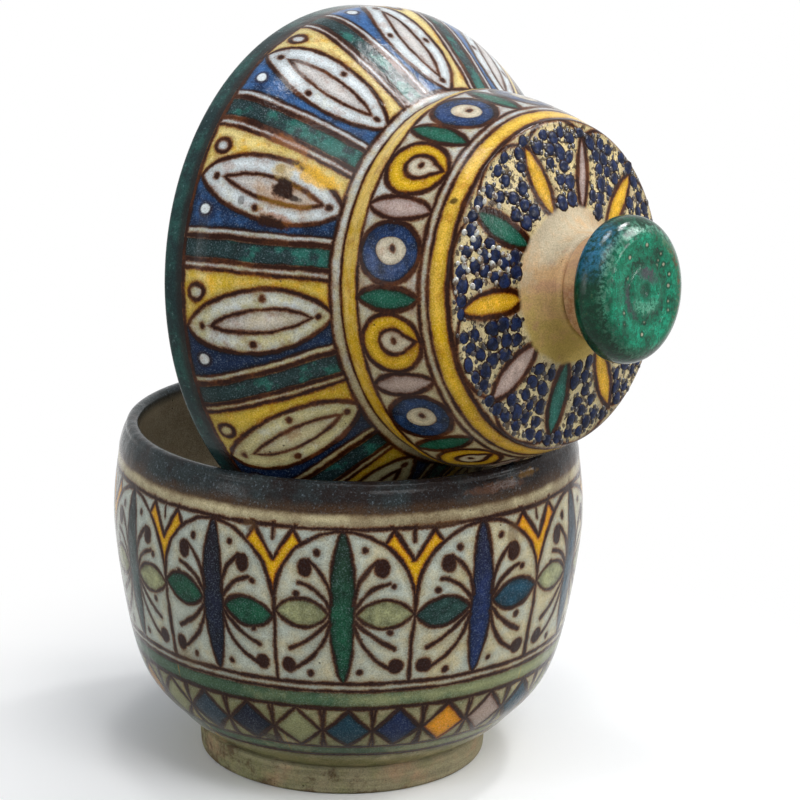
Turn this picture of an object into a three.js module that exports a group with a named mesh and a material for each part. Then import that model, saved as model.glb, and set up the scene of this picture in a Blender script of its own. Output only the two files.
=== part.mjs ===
import * as THREE from 'three';

// Thrown and glazed earthenware bowl with its lid, all lengths in millimetres and +Z up.
// The lid is off its seat and leans in the bowl's mouth, with its axis nearly level: the dome's
// shoulder rests on the mouth's inner edge at both sides, and the drum rests on the lip in front.

// Bowl: sizes of the wall, from the foot up to the lip
const BOWL_HEIGHT = 146.6;
const BELLY_RADIUS = 100;
const BELLY_HEIGHT = 101;
const HIP_RADIUS = 90.6;
const HIP_HEIGHT = 46.4;
const HEEL_RADIUS = 73.8;
const HEEL_HEIGHT = 22.6;
const NECK_RADIUS = 97.7;
const NECK_HEIGHT = 136;
const LIP_RADIUS = 92.1;
const LIP_THICKNESS = 5.6;
const LIP_CURL = 1.4;
const BOWL_WALL = 6.6;
const FLOOR_THICKNESS = 8;
const UNDERSIDE_RADIUS = 61;
const FLOOR_RADIUS = 46;
const FLOOR_COVE = 9;
const FLOOR_COVE_RISE = 2.5;

// Foot ring: a bare clay collar luted under the floor, a little off the bowl's axis
const FOOT_RADIUS = 62.5;
const FOOT_SHIFT = -1.5;
const FOOT_HEIGHT = 12.2;
const FOOT_WIDTH = 11;
const FOOT_DRAFT = 0.9;
const FOOT_EDGE = 1.8;

// Lid: sizes along its own axis, from the plane of its rim up
const RIM_RADIUS = 110;
const RIM_BAND = 15;
const RIM_EDGE = 2.6;
const SHOULDER_RADIUS = 109.4;
const SHOULDER_LEAN = 1.2;
const SHOULDER_PULL = 15.5;
const DOME_HEIGHT = 60.2;
const DOME_PULL = 15;
const WAIST_RADIUS = 73.4;
const WAIST_PULL = 4.2;
const LID_WALL = 6.4;

// Drum on top of the dome: a waist, a bulge, a taper, a rounded shoulder, a plate and a stem
const BULGE_RADIUS = 76.2;
const BULGE_RISE = 9.4;
const DRUM_RISE = 38.8;
const DRUM_RADIUS = 64.9;
const DRUM_BOW = 3.4;
const DRUM_WALL = 6.6;
const EDGE_WIDTH = 4.2;
const EDGE_RISE = 2.3;
const PLATE_RISE = 5.6;
const PLATE_THICKNESS = 6.8;
const HOLLOW_CORNER = 8;
const HOLLOW_CROWN = 1.5;
const CROWN_RADIUS = 31;
const FLARE_PULL = 1;
const STEM_RADIUS = 21.4;
const STEM_RISE = 11.5;
const STEM_EDGE = 0.8;

// Knob: neck, flattened bun and a face with turning rings, heights from the knob's own foot
const KNOB_NECK_RADIUS = 20.6;
const KNOB_WAIST_RADIUS = 19;
const KNOB_WAIST_HEIGHT = 5.2;
const KNOB_UNDER_RADIUS = 24.8;
const KNOB_UNDER_HEIGHT = 10.4;
const KNOB_RADIUS = 28.9;
const KNOB_WIDEST = 15.6;
const KNOB_SHOULDER_DROP = 2.6;
const KNOB_FACE_RADIUS = 21.6;
const KNOB_HEIGHT = 24.6;
const KNOB_RING_RADIUS = 12.5;
const KNOB_RING_WIDTH = 4;
const KNOB_RING_DEPTH = 0.7;

// How the lid leans, and what stays between pieces that touch
const LEAN_AZIMUTH = -41.87;
const LEAN_ADVANCE = 2;
const LEAST_TILT = -6;
const MOST_TILT = 34;
const SEAT_CLEARANCE = 0.45;
const LUTING_GAP = 0.3;

// Steps round a full turn, along the curves of a profile, and of the search for the lid's pose
const TURN_STEPS = 52;
const KNOB_STEPS = 36;
const WALL_STEPS = 5;
const DOME_STEPS = 9;
const DRUM_STEPS = 6;
const EDGE_STEPS = 3;
const SETTLE_STEPS = 22;

const glazed = (color, roughness) => new THREE.MeshStandardMaterial({ color, roughness, metalness: 0 });
const cream = glazed(0xb9b89e, 0.32);
const night = glazed(0x4f6a86, 0.3);
const emerald = glazed(0x0f6b4f, 0.26);
const bareClay = glazed(0xb9a988, 0.85);

const at = (r, z) => new THREE.Vector2(r, z);

/** Points on a smooth curve through a few named places. */
function through(places, steps) {
  return new THREE.SplineCurve(places).getPoints(steps * (places.length - 1));
}

/** Points on a cubic curve that leaves its start and reaches its end along the given handles. */
function swept(start, startHandle, endHandle, end, steps) {
  return new THREE.CubicBezierCurve(start, startHandle, endHandle, end).getPoints(steps);
}

/** Points on a curve that bends from one place to another towards a corner. */
function bent(start, corner, end, steps = EDGE_STEPS) {
  return new THREE.QuadraticBezierCurve(start, corner, end).getPoints(steps);
}

/** A corner between two straight runs, rounded off over the given length of each run. */
function eased(before, corner, after, length) {
  const start = before.clone().sub(corner).setLength(length).add(corner);
  const end = after.clone().sub(corner).setLength(length).add(corner);
  return bent(start, corner, end);
}

/** The same run of points moved inwards, square to the run, by a wall's thickness. */
function inset(points, thickness) {
  return points.map((point, i) => {
    const before = points[Math.max(i - 1, 0)];
    const after = points[Math.min(i + 1, points.length - 1)];
    const along = at(after.x - before.x, after.y - before.y).normalize();
    return at(point.x - along.y * thickness, point.y + along.x * thickness);
  });
}

/** A profile with no place given twice in a row. */
function profile(...runs) {
  const points = runs.flat();
  return points.filter((p, i) => i === 0 || p.distanceTo(points[i - 1]) > 1e-4);
}

/** One closed turned body about +Z, with its faces pointing out. */
function turned(points, steps) {
  const geometry = new THREE.LatheGeometry(points, steps);
  geometry.rotateX(Math.PI / 2);
  return geometry;
}

function piece(name, geometry, material) {
  const mesh = new THREE.Mesh(geometry, material);
  mesh.name = name;
  return mesh;
}

// Bowl wall: the outside runs from the heel to the lip, and the inside follows it at one thickness
const floorUnderside = FOOT_HEIGHT + LUTING_GAP;
const floorTop = floorUnderside + FLOOR_THICKNESS;
const neck = at(NECK_RADIUS, NECK_HEIGHT);
const bowlOutside = through(
  [
    at(UNDERSIDE_RADIUS, floorUnderside),
    at(HEEL_RADIUS, HEEL_HEIGHT),
    at(HIP_RADIUS, HIP_HEIGHT),
    at(BELLY_RADIUS, BELLY_HEIGHT),
    neck,
  ],
  WALL_STEPS,
);
const lipRound = LIP_THICKNESS / 2;
const lipOuter = at(LIP_RADIUS + lipRound, BOWL_HEIGHT - lipRound);
const lipTop = at(LIP_RADIUS, BOWL_HEIGHT);
const lipInner = at(LIP_RADIUS - lipRound, BOWL_HEIGHT - lipRound);
const lip = [
  ...bent(neck, at(lipOuter.x + LIP_CURL, lipOuter.y - LIP_CURL), lipOuter),
  ...bent(lipOuter, at(lipOuter.x, BOWL_HEIGHT), lipTop),
  ...bent(lipTop, at(lipInner.x, BOWL_HEIGHT), lipInner),
];
const bowlInside = inset(bowlOutside, BOWL_WALL)
  .filter((p) => p.y > floorTop + FLOOR_COVE_RISE)
  .reverse();
const coveTop = bowlInside.at(-1);
const floorCove = bent(coveTop, at(coveTop.x - FLOOR_COVE, floorTop), at(FLOOR_RADIUS, floorTop));
const bowlProfile = profile(
  [at(0, floorUnderside)],
  bowlOutside,
  lip,
  bowlInside,
  floorCove,
  [at(0, floorTop)],
);

// Foot ring: near upright outside, sloped inside, eased edges on a flat standing face
const footTop = at(FOOT_RADIUS, FOOT_HEIGHT);
const footToe = at(FOOT_RADIUS - FOOT_DRAFT, 0);
const footTopInner = at(FOOT_RADIUS - FOOT_WIDTH - FOOT_DRAFT, FOOT_HEIGHT);
const footToeInner = at(FOOT_RADIUS - FOOT_WIDTH, 0);
const footToes = eased(footToeInner, footToe, footTop, FOOT_EDGE);
const footProfile = profile(
  footToes,
  [footTop, footTopInner],
  eased(footTopInner, footToeInner, footToe, FOOT_EDGE),
  [footToes[0]],
);

// Lid shell outside: rim band, dome, waist, bulge, drum, plate and stem
const shoulder = at(SHOULDER_RADIUS, RIM_BAND);
const waist = at(WAIST_RADIUS, DOME_HEIGHT);
const dome = swept(
  shoulder,
  at(SHOULDER_RADIUS - SHOULDER_LEAN, RIM_BAND + SHOULDER_PULL),
  at(WAIST_RADIUS + DOME_PULL, DOME_HEIGHT - DOME_PULL),
  waist,
  DOME_STEPS,
);
const bulge = at(BULGE_RADIUS, DOME_HEIGHT + BULGE_RISE);
const drumTop = at(DRUM_RADIUS, bulge.y + DRUM_RISE);
const drumBow = bulge.clone().lerp(drumTop, 0.5).add(at(DRUM_BOW, 0));
const plateEdge = at(DRUM_RADIUS - EDGE_WIDTH, drumTop.y + EDGE_RISE);
const crown = at(CROWN_RADIUS, plateEdge.y + PLATE_RISE);
const stemHeight = crown.y + STEM_RISE;
const lidOutside = profile(
  [at(RIM_RADIUS, RIM_EDGE)],
  dome,
  bent(waist, at(WAIST_RADIUS, DOME_HEIGHT + WAIST_PULL), bulge),
  bent(bulge, drumBow, drumTop, DRUM_STEPS),
  bent(drumTop, at(DRUM_RADIUS, plateEdge.y), plateEdge),
  bent(crown, at(STEM_RADIUS, crown.y + FLARE_PULL), at(STEM_RADIUS, stemHeight - STEM_EDGE), DRUM_STEPS),
  [at(STEM_RADIUS - STEM_EDGE, stemHeight), at(0, stemHeight)],
);

// Lid shell inside: one open hollow that steps in at the waist and ends under the plate
const hollowRadius = WAIST_RADIUS - DRUM_WALL;
const hollowTop = plateEdge.y - PLATE_THICKNESS;
const hollowMiddle = at(0, hollowTop + HOLLOW_CROWN);
const hollowEdge = at(DRUM_RADIUS - DRUM_WALL, hollowTop);
const hollowBulge = at(hollowRadius, bulge.y);
const domeInside = inset(dome, LID_WALL).filter((p) => p.x > hollowRadius + LID_WALL / 2);
const rimInner = RIM_RADIUS - LID_WALL;
const rimMiddle = RIM_RADIUS - LID_WALL / 2;
const lidInside = [
  hollowMiddle,
  ...eased(hollowMiddle, hollowEdge, hollowBulge, HOLLOW_CORNER),
  hollowBulge,
  at(hollowRadius, DOME_HEIGHT - LID_WALL),
  ...domeInside.reverse(),
  ...bent(at(rimInner, RIM_EDGE), at(rimInner, 0), at(rimMiddle, 0)),
  ...bent(at(rimMiddle, 0), at(RIM_RADIUS, 0), at(RIM_RADIUS, RIM_EDGE)),
];
const lidProfile = profile(lidInside, lidOutside);

// Knob: its neck stands on the stem with the luting line between them
const knobFoot = stemHeight + LUTING_GAP;
const knobFace = knobFoot + KNOB_HEIGHT;
const knobWaist = at(KNOB_WAIST_RADIUS, knobFoot + KNOB_WAIST_HEIGHT);
const knobUnder = at(KNOB_UNDER_RADIUS, knobFoot + KNOB_UNDER_HEIGHT);
const knobWidest = at(KNOB_RADIUS, knobFoot + KNOB_WIDEST);
const knobProfile = profile(
  [at(0, knobFoot), at(KNOB_NECK_RADIUS - STEM_EDGE, knobFoot), at(KNOB_NECK_RADIUS, knobFoot + STEM_EDGE)],
  bent(knobWaist, at(knobWaist.x, knobUnder.y), knobUnder),
  bent(knobUnder, at(knobWidest.x, knobUnder.y), knobWidest),
  bent(knobWidest, at(knobWidest.x, knobFace - KNOB_SHOULDER_DROP), at(KNOB_FACE_RADIUS, knobFace)),
  [
    at(KNOB_RING_RADIUS + KNOB_RING_WIDTH, knobFace),
    at(KNOB_RING_RADIUS, knobFace - KNOB_RING_DEPTH),
    at(KNOB_RING_RADIUS - KNOB_RING_WIDTH, knobFace),
    at(0, knobFace - KNOB_RING_DEPTH),
  ],
);

/** Least distance from a place to a turned body's outline, negative inside the clay. */
function clearanceTo(outline, r, z) {
  let least = Infinity;
  let inside = false;
  for (let i = 0, j = outline.length - 1; i < outline.length; j = i++) {
    const a = outline[j];
    const b = outline[i];
    const dx = b.x - a.x;
    const dy = b.y - a.y;
    const share = THREE.MathUtils.clamp(((r - a.x) * dx + (z - a.y) * dy) / (dx * dx + dy * dy), 0, 1);
    least = Math.min(least, Math.hypot(r - a.x - share * dx, z - a.y - share * dy));
    if (a.y > z !== b.y > z && r < (dx * (z - a.y)) / dy + a.x) inside = !inside;
  }
  return inside ? -least : least;
}

/** Turn and place that carry the lid's own frame into its leaning pose above the bowl's axis. */
function leaning(tilt, height) {
  const upright = new THREE.Vector3(0, 0, 1);
  const leant = new THREE.Vector3(Math.cos(tilt), 0, Math.sin(tilt));
  const turn = new THREE.Quaternion().setFromUnitVectors(upright, leant);
  return new THREE.Matrix4().compose(new THREE.Vector3(LEAN_ADVANCE, 0, height), turn, new THREE.Vector3(1, 1, 1));
}

/** Places on one half of a turned surface, for measuring: the pose is the same on both sides. */
function ringPlaces(points) {
  return points.flatMap((p) =>
    Array.from({ length: TURN_STEPS + 1 }, (_, i) => {
      const turn = (i * Math.PI) / TURN_STEPS;
      return new THREE.Vector3(p.x * Math.cos(turn), p.x * Math.sin(turn), p.y);
    }),
  );
}

/** Least clearance between some places of the leaning lid and the bowl, looked for near the mouth. */
function leastClearance(places, tilt, height) {
  const pose = leaning(tilt, height);
  const reach = BOWL_HEIGHT + LID_WALL + BOWL_WALL + RIM_BAND;
  let least = Infinity;
  for (const place of places) {
    const p = place.clone().applyMatrix4(pose);
    if (p.z < reach) least = Math.min(least, clearanceTo(bowlProfile, Math.hypot(p.x, p.y), p.z));
  }
  return least;
}

/** Value between low and high where a rising measure reaches the seat's clearance. */
function settle(low, high, measure) {
  for (let step = 0; step < SETTLE_STEPS; step++) {
    const middle = (low + high) / 2;
    if (measure(middle) < SEAT_CLEARANCE) low = middle;
    else high = middle;
  }
  return high;
}

// The lid sinks until its dome meets the mouth, and tips forward until its drum meets the lip
const bodyOutline = profile(lidInside.slice(-EDGE_STEPS * 2), lidOutside);
const domePlaces = ringPlaces(bodyOutline.filter((p) => p.y <= DOME_HEIGHT && p.x > WAIST_RADIUS));
const drumPlaces = ringPlaces(bodyOutline.filter((p) => p.y > DOME_HEIGHT && p.x >= plateEdge.x));
const sunk = (tilt) =>
  settle(BOWL_HEIGHT, BOWL_HEIGHT + RIM_RADIUS, (height) => leastClearance(domePlaces, tilt, height));
const leanTilt = settle(
  THREE.MathUtils.degToRad(LEAST_TILT),
  THREE.MathUtils.degToRad(MOST_TILT),
  (tilt) => leastClearance(drumPlaces, tilt, sunk(tilt)),
);
const leanHeight = sunk(leanTilt);

const bowl = new THREE.Group();
bowl.add(piece('bowl_wall', turned(bowlProfile, TURN_STEPS), cream));
const foot = piece('foot_ring', turned(footProfile, TURN_STEPS), bareClay);
foot.position.x = FOOT_SHIFT;
bowl.add(foot);

const lid = new THREE.Group();
lid.add(piece('lid_shell', turned(lidProfile, TURN_STEPS), night));
lid.add(piece('lid_knob', turned(knobProfile, KNOB_STEPS), emerald));
const leanTurn = new THREE.Matrix4().makeRotationZ(THREE.MathUtils.degToRad(LEAN_AZIMUTH));
lid.applyMatrix4(leanTurn.multiply(leaning(leanTilt, leanHeight)));

// Origin: middle of the ground plan of bowl and leaning lid, on the surface they stand on
const decorative_bowl = new THREE.Group();
decorative_bowl.add(bowl, lid);
const plan = new THREE.Box3().setFromObject(decorative_bowl, true).getCenter(new THREE.Vector3());
decorative_bowl.position.set(-plan.x, -plan.y, 0);
decorative_bowl.updateMatrixWorld(true);

export default decorative_bowl;
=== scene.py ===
"""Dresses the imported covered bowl: painted and glazed earthenware with its lid leaning in its mouth."""

import logging
import math
import random
from bisect import bisect_left
from collections.abc import Callable, Iterable
from dataclasses import dataclass, field, replace
from enum import Enum
from typing import Union

import bmesh
import bpy
from mathutils import Matrix, Vector

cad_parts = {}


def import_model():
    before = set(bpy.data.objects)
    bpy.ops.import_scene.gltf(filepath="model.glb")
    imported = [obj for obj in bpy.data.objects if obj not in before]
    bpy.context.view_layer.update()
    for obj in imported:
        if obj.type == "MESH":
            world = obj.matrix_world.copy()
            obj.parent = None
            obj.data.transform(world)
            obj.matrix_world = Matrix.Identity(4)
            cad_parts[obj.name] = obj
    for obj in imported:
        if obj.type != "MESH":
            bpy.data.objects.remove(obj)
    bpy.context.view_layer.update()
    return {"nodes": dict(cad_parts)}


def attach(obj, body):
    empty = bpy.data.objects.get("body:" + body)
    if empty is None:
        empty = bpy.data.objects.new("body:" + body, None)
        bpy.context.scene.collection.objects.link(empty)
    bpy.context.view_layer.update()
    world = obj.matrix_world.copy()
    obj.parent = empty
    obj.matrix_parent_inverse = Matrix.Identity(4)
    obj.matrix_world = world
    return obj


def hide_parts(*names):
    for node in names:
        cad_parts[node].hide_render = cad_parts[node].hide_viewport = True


LOG = logging.getLogger("covered_bowl")
MM = 0.001
FULL_TURN = 2 * math.pi
SEAM = math.radians(90)
FULL_WHITE = (1, 1, 1, 1)


class Tone(Enum):
    """The colours of the painted glazes and of the clay, as they are mixed."""

    INK = "#2c1208"
    INK_GREY = "#4a3228"
    INK_RUST = "#74401e"
    INK_WASH = "#b8703c"
    SPECK = "#8c9caa"
    TIN = "#bcc4bc"
    CREAM = "#c9bd98"
    PEACH = "#d9c48e"
    WHITE = "#ced5d8"
    MELLOW = "#c6bd8c"
    ORANGE = "#fba800"
    FORK_YELLOW = "#ecbc08"
    AMBER = "#dfac20"
    LEMON = "#dfcb86"
    YELLOW = "#d0ad2c"
    RING_YELLOW = "#dfb218"
    LIT_WAIST_GOLD = "#f3d278"
    BURNISHED = "#e8bd45"
    NAVY = "#121830"
    COBALT = "#172a5a"
    BLUE = "#3a679f"
    DEEP_BLUE = "#142748"
    RING_BLUE = "#28477c"
    SLATE = "#22384a"
    TEAL_BLUE = "#164258"
    LEAF = "#184f39"
    SLATE_GREEN = "#22403c"
    JADE = "#1d5f4b"
    STRIPE_GREEN = "#22383a"
    STRIPE_JADE = "#2a6c62"
    BAND_GREEN = "#48664c"
    BAND_GREEN_LIT = "#949b72"
    OLIVE = "#8f8e66"
    PALE_OLIVE = "#969972"
    MAUVE = "#b6a199"
    PINK = "#bdb0a8"
    OCHRE = "#b07e20"
    RIM_BROWN = "#241b19"
    RIM_GREY_AND_SHEEN = "#2e393b"
    RIM_TEAL = "#1d3335"
    RIM_GREEN = "#2a5852"
    KHAKI = "#b5ab93"
    SOIL = "#5e4227"
    BURNT = "#241009"
    RUST = "#9a5a22"
    CLAY = "#cba67a"
    CLAY_WHITE = "#c2baa2"
    CLAY_PINK = "#b98f74"
    CLAY_OLIVE = "#bba562"
    CLAY_DARK = "#5f4a36"
    FOOT_CLAY = "#a1987a"
    EMERALD = "#00694c"
    BRIGHT_EMERALD = "#0e9a77"
    DEEP_EMERALD = "#0a3423"
    PALE_EMERALD = "#86bba4"
    GREY_PATCH = "#4a4850"
    KNOB_BLUE_AND_SHEEN = "#2f7098"
    BEAD = "#1c1512"
    PALE_GLINT_BEAD = "#b4b5b0"
    SPOT_BLUE = "#1d2a50"
    OLIVE_GOLD = "#c2b05c"
    RING_CREAM = "#d2c7ae"

    @property
    def linear(self) -> tuple[float, float, float, float]:
        """The tone as scene-linear red, green, blue and alpha.

        Returns:
            Red, green, blue and alpha.
        """
        parts = (int(self.value[i : i + 2], 16) / 255 for i in (1, 3, 5))
        red, green, blue = (p / 12.92 if p <= 0.04045 else ((p + 0.055) / 1.055) ** 2.4 for p in parts)
        return red, green, blue, 1.0


def tones(names: str) -> list[Tone]:
    """The tones named in one string, in order."""
    return [Tone[name] for name in names.split()]


class Lay(Enum):
    """How one colour is laid over another: covering it, or as a wash that darkens it."""

    COVER = "MIX"
    WASH = "MULTIPLY"


# Runs of a profile, in millimetres from a piece's own axis and foot


def at(r: float, z: float) -> Vector:
    """A place on a profile at radius r and height z."""
    return Vector((r, z))


def kept_at(r: float, z: float) -> Vector:
    """A dataclass field whose usual value is a place on a profile."""
    return field(default_factory=lambda: at(r, z))


def through(places: list[Vector], steps: int) -> list[Vector]:
    """Points on a smooth curve through a few named places.

    Args:
        places: The places, in order.
        steps: Steps from each place to the next.

    Returns:
        The points, both ends among them.
    """
    points = []
    for i in range(len(places) - 1):
        before, start = places[max(i - 1, 0)], places[i]
        end, after = places[i + 1], places[min(i + 2, len(places) - 1)]
        leave, arrive = (end - before) / 2, (after - start) / 2
        for step in range(steps):
            t = step / steps
            points.append(
                start * (2 * t**3 - 3 * t**2 + 1)
                + leave * (t**3 - 2 * t**2 + t)
                + end * (3 * t**2 - 2 * t**3)
                + arrive * (t**3 - t**2)
            )
    return [*points, places[-1]]


def swept(start: Vector, leave: Vector, arrive: Vector, end: Vector, steps: int) -> list[Vector]:
    """Points on a cubic curve that leaves its start and reaches its end along the given handles.

    Args:
        start: Where the curve starts.
        leave: The handle that it leaves along.
        arrive: The handle that it arrives along.
        end: Where it ends.
        steps: Steps along it.

    Returns:
        The points, both ends among them.
    """
    shares = [step / steps for step in range(steps + 1)]
    return [
        start * (1 - t) ** 3 + leave * 3 * t * (1 - t) ** 2 + arrive * 3 * t * t * (1 - t) + end * t**3
        for t in shares
    ]


def bent(start: Vector, corner: Vector, end: Vector, steps: int = 7) -> list[Vector]:
    """Points on a curve that bends from one place to another towards a corner."""
    shares = [step / steps for step in range(steps + 1)]
    return [start * (1 - t) ** 2 + corner * 2 * t * (1 - t) + end * t * t for t in shares]


def eased(before: Vector, corner: Vector, after: Vector, length: float) -> list[Vector]:
    """A corner between two straight runs, rounded off over the given length of each run.

    Args:
        before: A place on the run before the corner.
        corner: The corner.
        after: A place on the run after it.
        length: How much of each run is rounded off.

    Returns:
        The points of the rounding.
    """
    start = corner + (before - corner).normalized() * length
    end = corner + (after - corner).normalized() * length
    return bent(start, corner, end)


def inset(run: list[Vector], thickness: float) -> list[Vector]:
    """The same run moved inwards, square to itself, by a wall's thickness.

    Args:
        run: The run, in order.
        thickness: The wall's thickness.

    Returns:
        The moved run.
    """
    moved = []
    for i, point in enumerate(run):
        along = (run[min(i + 1, len(run) - 1)] - run[max(i - 1, 0)]).normalized()
        moved.append(at(point.x - along.y * thickness, point.y + along.x * thickness))
    return moved


def straight(start: Vector, end: Vector, steps: int) -> list[Vector]:
    """Evenly spaced points from one place to another."""
    return [start.lerp(end, step / steps) for step in range(steps + 1)]


class Outline:
    """A profile run with the arc length along it, counted from a named place."""

    def __init__(self, points: Iterable[Vector], zero: Vector) -> None:
        """Keeps the points that differ from the one before.

        Args:
            points: The run, in order.
            zero: The place where the arc length is nothing.
        """
        self.points: list[Vector] = []
        for point in points:
            if not self.points or (point - self.points[-1]).length > 1e-4:
                self.points.append(point)
        lengths = [0.0]
        for a, b in zip(self.points, self.points[1:]):
            lengths.append(lengths[-1] + (b - a).length)
        nearest = min(range(len(lengths)), key=lambda i: (self.points[i] - zero).length)
        self.arcs = [length - lengths[nearest] for length in lengths]

    def place(self, arc: float) -> tuple[Vector, Vector]:
        """The place on the run at an arc length, and the direction of the run there.

        Args:
            arc: Arc length in millimetres.

        Returns:
            The place and the direction.
        """
        i = min(max(bisect_left(self.arcs, arc), 1), len(self.arcs) - 1)
        a, b = self.points[i - 1], self.points[i]
        share = (arc - self.arcs[i - 1]) / (self.arcs[i] - self.arcs[i - 1])
        return a.lerp(b, share), (b - a).normalized()


@dataclass(frozen=True)
class Stand:
    """Where a turned piece stands: the matrix from its own frame in millimetres to the scene in metres."""

    matrix: Matrix

    @classmethod
    def upright(cls, x: float, y: float, z: float = 0.0) -> "Stand":
        """A stand with an upright axis at the given place in metres."""
        return cls(Matrix.Translation((x, y, z)) @ Matrix.Scale(MM, 4))

    @classmethod
    def leaning(cls, axis: Vector, foot: Vector) -> "Stand":
        """A stand whose axis leans; its own +X points down, square to the axis.

        Args:
            axis: The axis, one long.
            foot: Where it starts, in metres.

        Returns:
            The stand.
        """
        down = (axis * axis.z - Vector((0, 0, 1))).normalized()
        side = axis.cross(down)
        turn = Matrix((down, side, axis)).transposed().to_4x4()
        return cls(Matrix.Translation(foot) @ turn @ Matrix.Scale(MM, 4))


def keep_mesh(name: str, bm: bmesh.types.BMesh, finish: bpy.types.Material) -> bpy.types.Object:
    """Turns a finished bmesh into a smooth object at the origin with one finish.

    Args:
        name: The object's name.
        bm: The bmesh, which is freed.
        finish: The material that covers it.

    Returns:
        The new object.
    """
    mesh = bpy.data.meshes.new(name)
    bm.to_mesh(mesh)
    bm.free()
    for polygon in mesh.polygons:
        polygon.use_smooth = True
    mesh.materials.append(finish)
    thing = bpy.data.objects.new(name, mesh)
    bpy.context.scene.collection.objects.link(thing)
    LOG.info("%s: %d faces", name, len(mesh.polygons))
    return thing


def turned(
    name: str, outline: Outline, stand: Stand, steps: int, finish: bpy.types.Material
) -> bpy.types.Object:
    """Spins a closed outline about its axis into a shell with its wrap map.

    The map named wrap holds turns from the seam and arc length in millimetres, and the map named
    girth holds the radius in millimetres. The map for keeping finishes as pictures lies beside them.

    Args:
        name: The piece's name.
        outline: The profile, which starts and ends on the axis or closes on itself.
        stand: Where the piece stands.
        steps: Steps round a full turn.
        finish: The material that covers the piece.

    Returns:
        The new object, with its place in its mesh.
    """
    bm = bmesh.new()
    arc = bm.verts.layers.float.new("arc")
    edge_of = Vector((math.cos(SEAM), math.sin(SEAM), 0))
    verts = []
    for point, length in zip(outline.points, outline.arcs):
        vert = bm.verts.new(edge_of * point.x + Vector((0, 0, point.y)))
        vert[arc] = length
        verts.append(vert)
    edges = [bm.edges.new(pair) for pair in zip(verts, verts[1:])]
    line = [*verts, *edges]
    bmesh.ops.spin(
        bm, geom=line, axis=(0, 0, 1), cent=(0, 0, 0), angle=FULL_TURN, steps=steps, use_merge=True
    )
    bmesh.ops.remove_doubles(bm, verts=bm.verts, dist=1e-4)
    bmesh.ops.recalc_face_normals(bm, faces=bm.faces)
    wrap = bm.loops.layers.uv.new("wrap")
    girth = bm.loops.layers.uv.new("girth")
    kept = bm.loops.layers.uv.new("OFBake")
    low, high = outline.arcs[0], outline.arcs[-1]
    for face in bm.faces:
        middle = face.calc_center_median()
        home = ((math.atan2(middle.y, middle.x) - SEAM) / FULL_TURN) % 1
        for loop in face.loops:
            place = loop.vert.co
            radius = math.hypot(place.x, place.y)
            turns = ((math.atan2(place.y, place.x) - SEAM) / FULL_TURN) % 1 if radius > 1e-3 else home
            turns += round(home - turns)
            loop[wrap].uv = turns, loop.vert[arc]
            loop[girth].uv = radius, 0
            loop[kept].uv = turns, (loop.vert[arc] - low) / (high - low)
    bmesh.ops.transform(bm, matrix=stand.matrix, verts=bm.verts)
    return keep_mesh(name, bm, finish)


# Numbers and colours that change over a surface, worked out by shader nodes

Number = Union["Field", float]


class Field:
    """A number that changes over the surface, with ordinary arithmetic."""

    def __init__(self, tree: bpy.types.NodeTree, socket: bpy.types.NodeSocket) -> None:
        """Keeps the tree and the socket that the number comes out of."""
        self.tree = tree
        self.socket = socket

    def math(self, operation: str, *others: Number, first: Number | None = None) -> "Field":
        """The result of one Math node whose first value is this field, unless another is given.

        Args:
            operation: What the node does.
            *others: Its other values.
            first: A value that comes before this field.

        Returns:
            The result.
        """
        node = self.tree.nodes.new("ShaderNodeMath")
        node.operation = operation
        values = (self, *others) if first is None else (first, self, *others)
        for socket, value in zip(node.inputs, values):
            if isinstance(value, Field):
                self.tree.links.new(value.socket, socket)
            else:
                socket.default_value = value
        return Field(self.tree, node.outputs[0])

    def __add__(self, other: Number) -> "Field":
        """The sum."""
        return self.math("ADD", other)

    __radd__ = __add__

    def __sub__(self, other: Number) -> "Field":
        """The difference."""
        return self.math("SUBTRACT", other)

    def __rsub__(self, other: float) -> "Field":
        """The difference from a plain number."""
        return self.math("SUBTRACT", first=other)

    def __mul__(self, other: Number) -> "Field":
        """The product."""
        return self.math("MULTIPLY", other)

    __rmul__ = __mul__

    def __truediv__(self, other: Number) -> "Field":
        """The quotient."""
        return self.math("DIVIDE", other)

    def __abs__(self) -> "Field":
        """The size without its sign."""
        return self.math("ABSOLUTE")

    def least(self, other: Number) -> "Field":
        """The smaller of two numbers: the union of two marks given by their distances."""
        return self.math("MINIMUM", other)

    def most(self, other: Number) -> "Field":
        """The larger of two numbers: what two marks share."""
        return self.math("MAXIMUM", other)


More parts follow.
